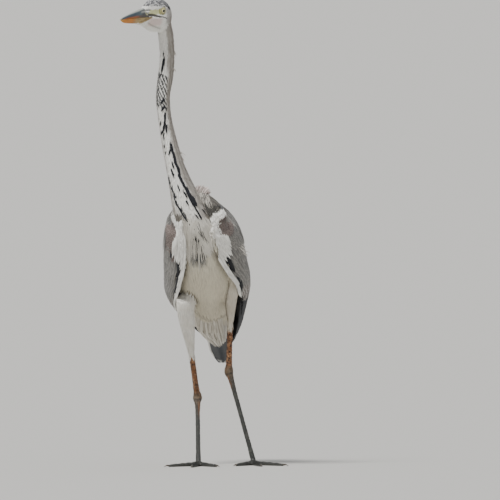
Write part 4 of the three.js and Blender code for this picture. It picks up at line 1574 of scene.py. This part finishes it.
def dark_slots(side):
    """Black feathers that show where the white edge and the grey coverts part: t, w, length, width and
    drift of each."""
    coat = Coat(f"dark_slots_{side}", "black_plumage", POINTED, 41 + (side == "left"))
    slots = {
        "left": (
            (0.33, 21, 50, 3.8, -0.22), (0.36, 19, 38, 4.2, -0.2), (0.39, 17, 28, 4.2, -0.2),
            (0.56, 13, 56, 5.5, -0.12), (0.58, 14, 40, 4.5, -0.12), (0.3, 30, 20, 2.6, -0.1),
            (0.35, 23, 36, 6.0, -0.2), (0.37, 19, 36, 6.5, -0.16), (0.41, 17, 30, 5.5, -0.12),
            (0.42, 15.5, 36, 6.5, -0.04), (0.45, 15, 30, 6.5, -0.04), (0.4, 13.5, 26, 5.0, 0.0),
        ),
        "right": (
            (0.28, 15, 46, 5.5, -0.13), (0.3, 13, 52, 6.5, -0.1), (0.34, 11, 46, 6, -0.07),
            (0.4, 9, 44, 4.5, -0.05), (0.48, 7, 40, 3, -0.03), (0.283, 32, 16, 3.6, 0.0),
        ),
    }[side]
    for t, w, length, width, stray in slots:
        wing_row(coat, side, (t, w - 2), (t, w + 2), 2, (length, length), (width, width), BLACK, BLACK,
                 BLACK, (stray, stray), low=-0.6, high=1.0)
    coat.make()


def lesser_coverts(side):
    """The mauve-brown patch behind the wrist: small feathers, darker in their middles."""
    coat = Coat(f"wrist_coverts_{side}", "grey_plumage", SHORT, 37 + (side == "left"))
    for t in np.arange(0.3, -0.01, -0.02):
        full = WING[side].full(max(t, 0))
        edge = np.interp(t, *WHITE_EDGE[side])
        top = min(np.interp(t + 0.02, *MAUVE_EDGE[side]), full * 0.9)
        if top - edge > 4:
            wing_row(coat, side, (t, edge), (t, top), 3.6, (13, 16), (5.2, 6.0), MAUVE * 0.55, MAUVE,
                     linear("#b8aaa4"), (0.0, 0.05), high=0.3)
        wing_row(coat, side, (t, max(top, edge)), (t, full * 0.97), 5.5, (22, 26), (7, 8), GREY_DARK,
                 GREY_MID, GREY_LIGHT)
    coat.make()


def pale_outline():
    """Thin white feathers along the outer bend of the right wing."""
    side = "right"
    coat = Coat(f"wing_outline_{side}", "white_plumage", POINTED, 39)
    for t in np.arange(0.3, 0.06, -0.02):
        w = np.interp(t, [0.05, 0.1, 0.2, 0.3], [52, 70, 90, 96])
        wing_row(coat, side, (t, w - 2), (t, w + 2), 2.0, (22, 26), (1.6, 2.0), PALE_GREY, PALE_GREY, WHITE,
                 (0.04, 0.1), low=-1.4, high=0.6)
    coat.make()


def make_wing_feathers():
    for side in SIDES:
        black_rows(side)
        covert_rows(side)
        lesser_coverts(side)
        dark_slots(side)
        white_strip(side)
    pale_outline()


make_wing_feathers()


# ---------------------------------------------------------------- plumes and streaks
def neck_places(z, turn):
    """Places on the skin straight out from the neck's middle at a height and a turn from the front."""
    places, normals = [], []
    for height, angle in zip(z, np.radians(turn)):
        start = Vector([*(np.interp(height, NECK[:, 2], NECK[:, k]) for k in (0, 1)), height])
        hit = SKIN.tree.ray_cast(start, Vector((math.sin(angle), -math.cos(angle), 0)), 120)
        places.append(hit[0][:])
        normals.append(hit[1][:])
    return np.array(places), np.array(normals)


def along_path(path, gap):
    """Evenly spread (height, turn) places along a stroke."""
    path = np.array(path, float)
    steps = np.hypot(np.diff(path[:, 0]), np.radians(np.diff(path[:, 1])) * 18)
    gone = np.concatenate([[0], np.cumsum(steps)])
    at = np.arange(0, gone[-1] + 0.01, gap)
    return np.interp(at, gone, path[:, 0]), np.interp(at, gone, path[:, 1])


def make_streaks():
    """Black feather tips that lie over the white foreneck, one over the next down each stroke."""
    coat = Coat("neck_streaks", "black_plumage", POINTED, 51)
    rng = coat.rng
    for width, *path in STREAKS:
        path[-1] = (path[-1][0] - 3, path[-1][1])
        z, turn = along_path(path, 1.0)
        places, normals = neck_places(z, turn)
        lines, ups, widths = [], [], []
        long = min(10, len(z) - 1)
        starts = range(0, max(1, len(z) - long), 3)
        for start in starts:
            for shift in ((0,) if width < 2.4 else (-0.28, 0.28)):
                spot = start + coat.share * long
                line, up = (
                    np.stack([np.interp(spot, np.arange(len(z)), rows[:, k]) for k in range(3)], 1)
                    for rows in (places, normals)
                )
                up = unit(up)
                side = unit(np.cross(np.gradient(line, axis=0), up))
                height = 1.5 + 0.9 * coat.share + rng.uniform(0, 0.25)
                lines.append(line + up * height[:, None] + side * shift * width * rng.uniform(0.6, 1.3))
                ups.append(up)
                widths.append(width * (1.15 if shift == 0 else 0.8) * rng.uniform(0.85, 1.15))
        lines, ups = np.array(lines), np.array(ups)
        colour = BLACK * rng.uniform(0.8, 1.8, (len(lines), 1, 1))
        coat.lay(lines, ups, np.array(widths), colour, colour * 1.3, unwrap(lines[:, 0], "neck"), 0.1)
    coat.make()


def breast_places(x, z):
    """Places on the breast and foreneck straight back from the front, and their normals."""
    hits = []
    for a, b in zip(x.ravel(), z.ravel()):
        hit = SKIN.tree.ray_cast(Vector((a, -400, b)), Vector((0, 1, 0)))
        hits.append(hit if hit[0] else SKIN.tree.find_nearest(Vector((a, -50, b))))
    return [np.array([hit[k][:] for hit in hits]).reshape(*x.shape, 3) for k in (0, 1)]


def breast_fan(
    coat, count, roots, tips, width, low, high, colour, edge, scatter_tips=7.0, scatter_roots=4.0
):
    """Plumes from places along one curve to places along another, both of (x, z) on the breast."""
    rng = coat.rng
    s = staggered(rng, count)
    a, b = spline(roots, s), spline(tips, s)
    a = a + rng.normal(0, 1, a.shape) * [3.0, scatter_roots]
    b = b + np.stack([rng.normal(0, 1.6, count), np.abs(rng.normal(0, scatter_tips, count))], 1)
    share = coat.share[None, :, None]
    bend = np.sin(math.pi * share) * rng.normal(0, 1.2, (count, 1, 1)) * [1, 0]
    path = a[:, None] * (1 - share) + b[:, None] * share + bend
    places, normals = breast_places(path[..., 0], path[..., 1])
    smooth_normals(normals, 2)
    height = low + (high - low) * share[..., 0] ** 0.8 + rng.uniform(0, 1.4, (count, 1))
    tone = rng.uniform(0.86, 1.05, (count, 1, 1))
    line = places + normals * height[..., None]
    patch = unwrap(a @ [[1, 0, 0], [0, 0, 1]] + [0, -70, 0], "neck")
    coat.lay(line, normals, width * rng.uniform(0.8, 1.2, count), colour * tone, edge * tone, patch, 0.1)


def make_breast_plumes():
    coat = Coat("breast_plumes", "white_plumage", PLUME, 52)
    light, pale, buff, dusk = (linear(c) for c in ("#ebe7dd", "#d6d1c4", "#b6afa1", "#3e3e43"))
    # the first fan lays dark plumes low under the pale ones, as painted shade in the gaps between them
    breast_fan(coat, 60, [(-9, 420), (-1, 416), (7, 420)], [(-18, 376), (-3, 362), (13, 366)], 2.6, 0.2, 1.4,
               dusk * 0.45, dusk * 0.8, 14.0)
    for root, tip, end in (
        (-13, -21, 366), (-9, -13, 352), (-5, -6, 366), (-1, 0, 350), (3, 6, 364), (7, 12, 356)
    ):
        breast_fan(coat, 7, [(root - 1, 420), (root, 418), (root + 1, 420)],
                   [(tip - 1.6, end), (tip, end), (tip + 1.6, end)], 1.7, 0.4, 2.8, buff, light, 9.0)
    # the umber and taupe plumes below are painted shadow between the neck's base and the left wing
    shadow_umber, shadow_taupe, shell = linear("#3f3e3a"), linear("#625f58"), linear("#bdb5aa")
    for fan in (
        (120, [(-12, 442), (2, 438), (12, 438)], [(-13, 410), (-1, 411), (9, 404)], 2.2, -0.4, 2.6, pale,
         light, 9.0, 5.0),
        (100, [(-21, 442), (-17, 438), (-12, 432)], [(-22, 380), (-17, 366), (-14, 372)], 2.2, -0.4, 3.2,
         buff, light, 12.0, 5.0),
        (150, [(-2, 446), (8, 440), (19, 440)], [(12, 372), (22, 376), (31, 396)], 2.3, -0.6, 3.2, pale,
         light, 14.0, 6.0),
        (7, [(-2, 436), (6, 428), (12, 420)], [(8, 402), (15, 396), (20, 388)], 0.9, 2.6, 3.6, dusk, dusk,
         8.0, 8.0),
        (60, [(-3, 500), (5, 496), (13, 490)], [(6, 472), (14, 466), (24, 460)], 1.8, -0.4, 1.6, shell, pale,
         7.0, 5.0),
        (60, [(10, 478), (22, 474), (36, 466)], [(19, 452), (23, 447), (27, 453)], 2.0, -0.3, 1.9, shadow_umber,
         shadow_taupe, 6.0, 4.0),
        (9, [(3, 494), (10, 490), (20, 482)], [(6, 472), (14, 466), (24, 458)], 1.0, 1.2, 2.6, dusk, dusk,
         6.0, 5.0),
    ):
        breast_fan(coat, *fan)
    coat.make()


def make_undertail():
    """Loose pale plumes that hang from the vent and close over the tail's root from below."""
    coat = Coat("undertail_plumes", "white_plumage", PLUME, 67)
    rng = coat.rng
    count = 190
    s = staggered(rng, count)
    roots = spline([(-27, 84, 272), (-14, 92, 256), (4, 96, 252), (22, 90, 262)], s)
    roots = roots + rng.normal(0, 4, (count, 3))
    tips = spline([(-12, 206, 216), (-4, 222, 208), (5, 222, 208), (13, 206, 216)], s)
    tips = roots + (tips - roots) * rng.uniform(0.6, 1.0, (count, 1))
    share = coat.share[None, :, None]
    line = roots[:, None] * (1 - share) + tips[:, None] * share
    sag = np.sin(math.pi * share**0.85) * (5.5 - 3 * s[:, None, None]) * rng.uniform(0.5, 1.0, (count, 1, 1))
    line = line + sag * np.array([-0.45, -0.1, -0.9])
    place, normal = nearest(line)
    inside = ((line - place) * normal).sum(-1, keepdims=True)
    clear = -1.0 + 2.2 * share**0.5
    height = np.maximum(inside * ease(0, 0.35, share), clear)
    line = line + normal * (height - inside)
    up = unit(np.array([-0.2, -0.35, -0.9]) + 0.3 * normal)
    tone = mix("#bdb6a8", "#d9d4c8", rng.uniform(0, 1, count))
    rim = np.clip(tone * 1.12, 0, 1)
    coat.lay(line, up, rng.uniform(3, 4.6, count), tone, rim, unwrap(roots, "trunk"), 0.07)
    coat.make()


def make_crest():
    """Plumes at the nape: black ones from behind the eyes that lie down the back of the neck."""
    coat = Coat("crest_plumes", "black_plumage", PLUME, 53)
    rng = coat.rng
    count = 34
    side = np.where(np.arange(count) % 2, 1, -1)
    h = np.stack([side * rng.uniform(4, 11, count), rng.uniform(16, 26, count), rng.uniform(4, 12, count)], 1)
    roots, normals = nearest(from_head(h))
    heading = flow(roots, "head")
    length = rng.uniform(14, 30, count)
    line, up = grow(coat, roots, normals, heading, length, rng.uniform(1.2, 2.4, count))
    colour = BLACK * rng.uniform(0.9, 1.8, (count, 1, 1))
    coat.lay(line, up, rng.uniform(1.6, 2.2, count), colour, colour * 1.3, unwrap(roots, "head"), 0.1)
    coat.make()


def make_back():
    """Long grey plumes from the shoulders over the back."""
    coat = Coat("back_plumes", "grey_plumage", PLUME, 54)
    on_back = lambda p, n: (n[:, 2] > 0.25) & (p[:, 1] > -40) & (p[:, 1] < 180) & (p[:, 2] > 300)
    long = lambda p: 40 + 45 * ease(-40, 60, p[:, 1])
    tint = lambda p: mix(GREY_MID, GREY_LIGHT, 0.5 + 0.5 * cloud(p, 9, 11))
    cover(coat, "trunk", 7.5, long, 6.5, 5.0, keep=on_back, restless=0.14, lighten=0.1, colour=tint)
    coat.make()


def make_mantle_tufts():
    """The downy pale tuft that stands up from the mantle behind the neck's root."""
    coat = Coat("mantle_tufts", "white_plumage", PLUME, 55)
    rng = coat.rng
    starts, normals = [], []
    for x, y in zip(rng.uniform(-12, 12, 420), rng.uniform(-64, -30, 420)):
        hit = SKIN.tree.ray_cast(Vector((x, y, 512)), Vector((0, 0, -1)))
        if hit[0] and hit[0][2] < 497 and hit[1][2] > 0.3:
            starts.append(hit[0][:])
            normals.append(hit[1][:])
    starts, normals = np.array(starts), np.array(normals)
    count = len(starts)
    way = unit(normals * 0.7 + [0.25, 0.35, 0.6] + rng.normal(0, 0.22, (count, 3)))
    long = rng.uniform(11, 18, count) * ease(18, 10, np.abs(starts[:, 0]))
    share = coat.share[None, :, None]
    line = starts[:, None] - normals[:, None] * 0.6 + way[:, None] * share * long[:, None, None]
    line = line + share**2 * np.array([0.5, 2.5, -2.5])
    side = unit(np.cross(way, np.array([0.3, 1.0, 0.1]) + rng.normal(0, 0.5, (count, 3))))
    up = unit(np.cross(side, way))
    tone = mix("#a89f97", "#ddd0c9", rng.uniform(0, 1.2, count))
    rim = np.clip(tone * 1.1, 0, 1)
    coat.lay(line, up, rng.uniform(1.6, 2.4, count), tone, rim, unwrap(starts, "trunk"), 0.07)
    coat.make()


def make_saddle():
    """Plumes that close the furrow between the folded wings, down to the tail."""
    coat = Coat("saddle_plumes", "grey_plumage", PLUME, 69)
    rng = coat.rng
    reach, across_step, along_step = 66, 3.0, 5.0
    across, along = np.arange(-reach, reach + 1, across_step), np.arange(0, 235, along_step)
    bottom = Vector((0, 0, 100))
    drop = lambda x, y: (SKIN.tree.ray_cast(Vector((x, y, 700)), Vector((0, 0, -1)))[0] or bottom)[2]
    ground = np.array([[drop(x, y) for y in along] for x in across])
    # the furrow is closed by the highest skin within six steps on either side
    spread = lambda field, pick: pick([np.roll(field, k, 0) for k in range(-6, 7)], axis=0)
    closed = spread(spread(ground, np.max), np.min)
    deep = closed - ground
    count = 900
    x = rng.uniform(-30, 30, count)
    y = rng.uniform(10, 185, count)
    at = lambda field, x, y: field[
        np.clip(((x + reach) / across_step).round().astype(int), 0, len(across) - 1),
        np.clip((y / along_step).round().astype(int), 0, len(along) - 1),
    ]
    wanted = at(deep, x, y) > 1.2
    x, y = x[wanted], y[wanted]
    share = coat.share[None, :]
    gone = rng.uniform(42, 62, len(x))[:, None] * share
    xs = x[:, None] + rng.normal(0, 0.05, (len(x), 1)) * gone - 0.12 * np.sign(x[:, None]) * gone
    ys = y[:, None] + gone * 0.84
    height = at(closed, xs, ys)
    smooth_heights(height, 3)
    line = np.stack([xs, ys, height + (-2.2 + 2.6 * share**0.7)], 2)
    up = unit(np.stack([0 * xs, 0 * xs + 0.45, 0 * xs + 1], 2))
    tone = mix(GREY_MID, GREY_LIGHT, rng.uniform(0.05, 0.5, len(x)))
    coat.lay(line, up, rng.uniform(6, 8, len(x)), tone, tone * 1.12, unwrap(line[:, 0], "trunk"), 0.07)
    coat.make()


def scapulars(side):
    """Long silvery plumes over the upper half of the folded wing, reaching towards the tail."""
    coat = Coat(f"scapulars_{side}", "grey_plumage", PLUME, 56 + (side == "left"))
    for t in np.arange(0.52, 0.06 if side == "right" else 0.13, -0.045):
        full = WING[side].full(t)
        wing_row(coat, side, (t, full * 0.62), (t, full * 0.99), 7.5, (70, 95), (7, 8.5), GREY_DARK, GREY_MID,
                 GREY_LIGHT, (0.02, -0.05), low=-1.2, high=2.2)
    coat.make()


def tertials(side):
    """The broad innermost flight feathers, ash grey, which close the back over the tail."""
    coat = Coat(f"tertials_{side}", "grey_plumage", BROAD, 58 + (side == "left"))
    for t in (0.74, 0.68, 0.62, 0.56):
        full = WING[side].full(t)
        wing_row(coat, side, (t, full * 0.55), (t, full * 0.98), 13, (105, 125), (16, 20), GREY_DARK,
                 ASH * 0.8, GREY_LIGHT, (0.0, -0.1), low=-2.0, high=1.2)
    coat.make()


TAIL = np.array([[0, 176, 256], [0, 208, 236], [0, 240, 217], [0, 270, 198.5], [0, 296, 179.5]], float)
TAIL_WIDTH = (18, 22, 21, 18, 11)


def make_tail():
    """Twelve slate tail feathers above, their undersides below, each with a thin white rim."""
    coat = Coat("tail_feathers", "tail_plumage", BROAD, 60)
    rng = coat.rng
    share = coat.share
    slope = unit(TAIL[-1] - TAIL[0])
    upward = unit(np.cross([1, 0, 0], slope))
    for face in (1, -1):
        for k in range(12):
            place = (k - 5.5) / 5.5
            centre = spline(TAIL, 0.06 + 0.93 * share * (1 - 0.05 * abs(place)))
            wide = spline(np.array(TAIL_WIDTH, float)[:, None], share)[:, 0]
            x = place * (wide - 5) * (0.55 + 0.45 * share)
            height = face * (3.4 - 2.2 * share + 0.25 * (6 - abs(k - 5.5))) - 0.5
            line = centre + np.stack([x, 0 * x, 0 * x], 1) + height[:, None] * upward
            up = face * upward[None]
            tone = linear("#3b3e43") * rng.uniform(0.75, 1.0)
            outer = 0.9 + 0 * share if k == 0 else 0.08 + 0.85 * (share > 0.93)
            rim = mix(tone, RIM_WHITE, outer)
            patch = np.array([[0.3 + 0.4 * k / 12, 0.9 + 0.03 * face]])
            coat.lay(line[None], up, np.array([15.0]), tone[None], rim[None], patch, 0.04)
            if k in (0, 11):
                # the outer web of the outermost feather is white
                out = np.sign(place) * 7.4 * (1 - 0.5 * share**6)
                edge = line + np.stack([out, 0 * out, 0 * out], 1) + 0.5 * face * upward
                coat.lay(edge[None], up, np.array([2.6]), RIM_WHITE[None], RIM_WHITE[None], patch, 0.04)
    coat.make()
    cover_coat = Coat("tail_coverts", "grey_plumage", POINTED, 61)
    near_tail = lambda p, n: (p[:, 1] > 128) & (p[:, 1] < 205)
    above = lambda p: p[:, 2] - np.interp(p[:, 1], TRUNK[:, 1], TRUNK[:, 2])
    tint = lambda p: mix(ASH, "#c9c4ba", ease(6, -8, above(p)))
    cover(cover_coat, "trunk", 6.0, 34, 8, 3.4, keep=near_tail, colour=tint)
    cover_coat.make()


def make_wrist_knobs():
    """The rounded white fronts of the folded wings, standing a little off the breast."""
    for side, turn in SIDES.items():
        coat = Coat(f"wrist_{side}", "white_plumage", SHORT, 62 + (side == "left"))
        beside = lambda p: turn * p[:, 0] - crease(side, p[:, 2])
        reach, more, top = {"left": (14, 9, 461), "right": (17, 0, 446)}[side]
        far = lambda p: reach + more * ease(446, 455, p[:, 2])
        near = lambda p, n: (
            (beside(p) > 0) & (beside(p) < far(p)) & (p[:, 2] > 404) & (p[:, 2] < top) & (p[:, 1] < -50)
        )
        swell = lambda p: 1.5 + 3.6 * bell(beside(p), 4, 7)
        lie = lambda p: np.tile(unit(np.array([0.22 * turn, 0.1, -1])), (len(p), 1))
        cover(coat, f"wing_{side}", 2.2, 13, 3.6, swell, keep=near, colour=lambda p: WHITE,
              parts=("trunk", f"wing_{side}", "neck"), heading=lie, root_shade=0.05, crossing=True)
        coat.make()


def make_thigh_cap():
    """White feathers that round off the right thigh where it comes out of the belly's."""
    coat = Coat("thigh_cap", "white_plumage", PLUME, 70)
    rng = coat.rng
    count = 150
    out = rng.uniform(-1, 1, count)
    share = coat.share[None, :]
    top = 295 + 15 * np.sqrt(1 - out**2) * rng.uniform(0.45, 1.0, count)
    low = top - rng.uniform(17, 26, count)
    x = -33 + 15.5 * out[:, None] * (1 - 0.1 * share) + rng.normal(0, 0.7, (count, 1)) * share
    z = top[:, None] * (1 - share) + low[:, None] * share
    places, normals = breast_places(x, z)
    straight = places[:, :1, 1] * (1 - share) + places[:, -1:, 1] * share
    places[..., 1] = np.minimum(places[..., 1], straight)
    smooth_heights(places[..., 1], 3)
    smooth_normals(normals, 3)
    up = unit(normals * 0.4 + [0, -1.0, 0.25])
    line = places + up * (-0.4 + 2.0 * share**0.7)[..., None]
    tone = mix(WHITE, BUFF, rng.uniform(0.1, 0.35, count))
    rim = np.clip(tone * 1.05, 0, 1)
    coat.lay(line, up, rng.uniform(2.4, 3.4, count), tone, rim, unwrap(line[:, 0], "trunk"), 0.07)
    coat.make()


def make_strays():
    """A few loose feathers that stand off the neck's side and the left wing's outer edge."""
    coat = Coat("stray_feathers", "white_plumage", PLUME, 68)
    rng = coat.rng
    starts, ways, longs = [], [], []
    for height, turn, count, long in (
        (566, 100, 3, 17), (559, 96, 3, 12), (746, 96, 7, 7), (717, 92, 7, 7)
    ):
        z = height + rng.normal(0, 2.0, count)
        places, normals = neck_places(z, turn + rng.normal(0, 9, count))
        starts += list(places - normals * 0.5)
        ways += list(unit(normals + [0, 0, -1.0] + rng.normal(0, 0.2, normals.shape)))
        longs += list(long * rng.uniform(0.7, 1.1, count))
    for t, share_up, count, long in ((0.39, 0.3, 7, 14), (0.44, 0.32, 5, 12)):
        full = WING["left"].full(t)
        places, normals = WING["left"].at(np.full(count, t) + rng.normal(0, 0.006, count),
                                          full * share_up + rng.normal(0, 4, count))
        starts += list(places)
        ways += list(unit(normals + [0.3, 0, -0.6] + rng.normal(0, 0.25, normals.shape)))
        longs += list(long * rng.uniform(0.6, 1.1, count))
    starts, ways, longs = np.array(starts), np.array(ways), np.array(longs)
    share = coat.share[None, :, None]
    line = starts[:, None] + ways[:, None] * share * longs[:, None, None] + [0, 0, -2.5] * share**2
    across = unit(np.cross(ways, [0.0, 1.0, 0.2]))
    tone = np.tile(linear("#d8d3ca"), (len(starts), 1))
    width = rng.uniform(0.9, 1.6, len(starts))
    coat.lay(line, unit(np.cross(across, ways)), width, tone, tone, unwrap(starts, "neck"), 0.07)
    coat.make()


def make_scutes():
    """Overlapping scutes down tarsi, shins and toes; those of the toes are smaller."""
    plate = ((0, 0.8), (0.4, 1.0), (0.85, 0.8), (1, 0))
    ankle = 16  # the height below which the toes begin
    for side in SIDES:
        coat = Coat(f"scutes_{side}", "slate_leg_skin", plate, 64 + (side == "left"))
        hock, foot = (np.array(LEGS[side][joint], float) for joint in ("hock", "foot"))
        size = lambda leg, toe: lambda p: np.where(p[:, 2] > ankle, leg, toe)
        lie = lambda p: np.where(p[:, 2:] > ankle, unit(foot - hock), unit((p - foot) * [1, 1, 0]))
        mine = lambda p, n: ((p[:, 0] > BETWEEN_FEET) == (side == "left")) & (p[:, 2] > 3)
        cover(coat, "leg", size(3.0, 2.3), size(4.2, 3.0), size(3.6, 3.0), 0.42, restless=0.06, heading=lie,
              root_shade=0.3, lighten=0.02, keep=mine)
        coat.make()


make_streaks()
make_breast_plumes()
make_crest()
make_back()
make_mantle_tufts()
make_saddle()
for plume_side in SIDES:
    scapulars(plume_side)
    tertials(plume_side)
make_tail()
make_undertail()
make_wrist_knobs()
make_thigh_cap()
make_strays()
make_scutes()


# ---------------------------------------------------------------- camera, floor and light
VIEW_TURN = math.radians(7)
VIEW_RISE = math.radians(1)
VIEW_AIM = Vector((0.06506, -0.01136, 0.3887))
VIEW_DISTANCE = 30.0
LENS = 1200  # so long that the view is almost parallel
FLOOR_RADIUS = 3000


def make_camera():
    lens = bpy.data.cameras.new("camera")
    lens.lens = LENS
    lens.sensor_width = 36
    lens.clip_end = 5000
    camera = bpy.data.objects.new("camera", lens)
    rise, turn = VIEW_RISE, VIEW_TURN
    away = Vector((math.sin(turn) * math.cos(rise), -math.cos(turn) * math.cos(rise), math.sin(rise)))
    camera.location = VIEW_AIM + away * VIEW_DISTANCE
    camera.rotation_euler = (-away).to_track_quat("-Z", "Y").to_euler()
    bpy.context.scene.collection.objects.link(camera)
    bpy.context.scene.camera = camera


def make_floor():
    bm = bmesh.new()
    bmesh.ops.create_circle(bm, cap_ends=True, segments=96, radius=FLOOR_RADIUS)
    floor = bpy.data.objects.new("floor", from_bmesh("floor", bm))
    material, _, shader = new_material("matt_studio_floor", 0.9)
    shader.inputs["Base Color"].default_value = (*linear("#c9c7c1"), 1)
    floor.data.materials.append(material)
    bpy.context.scene.collection.objects.link(floor)


def make_light():
    world = bpy.data.worlds.new("studio")
    world.use_nodes = True
    world.node_tree.nodes["Background"].inputs["Color"].default_value = (0.93, 0.95, 1.0, 1)
    world.node_tree.nodes["Background"].inputs["Strength"].default_value = 0.42
    bpy.context.scene.world = world
    for name, heading, strength, soft in (
        ("key", (0.34, 0.62, -1.0), 3.3, 20),
        ("fill", (-0.9, 0.7, -0.45), 0.4, 60),
        ("back", (-0.2, -0.8, -0.8), 0.4, 50),
    ):
        lamp = bpy.data.lights.new(name, "SUN")
        lamp.energy = strength
        lamp.angle = math.radians(soft)
        light = bpy.data.objects.new(name, lamp)
        light.rotation_euler = Vector(heading).to_track_quat("-Z", "Y").to_euler()
        bpy.context.scene.collection.objects.link(light)


make_camera()
make_floor()
make_light()
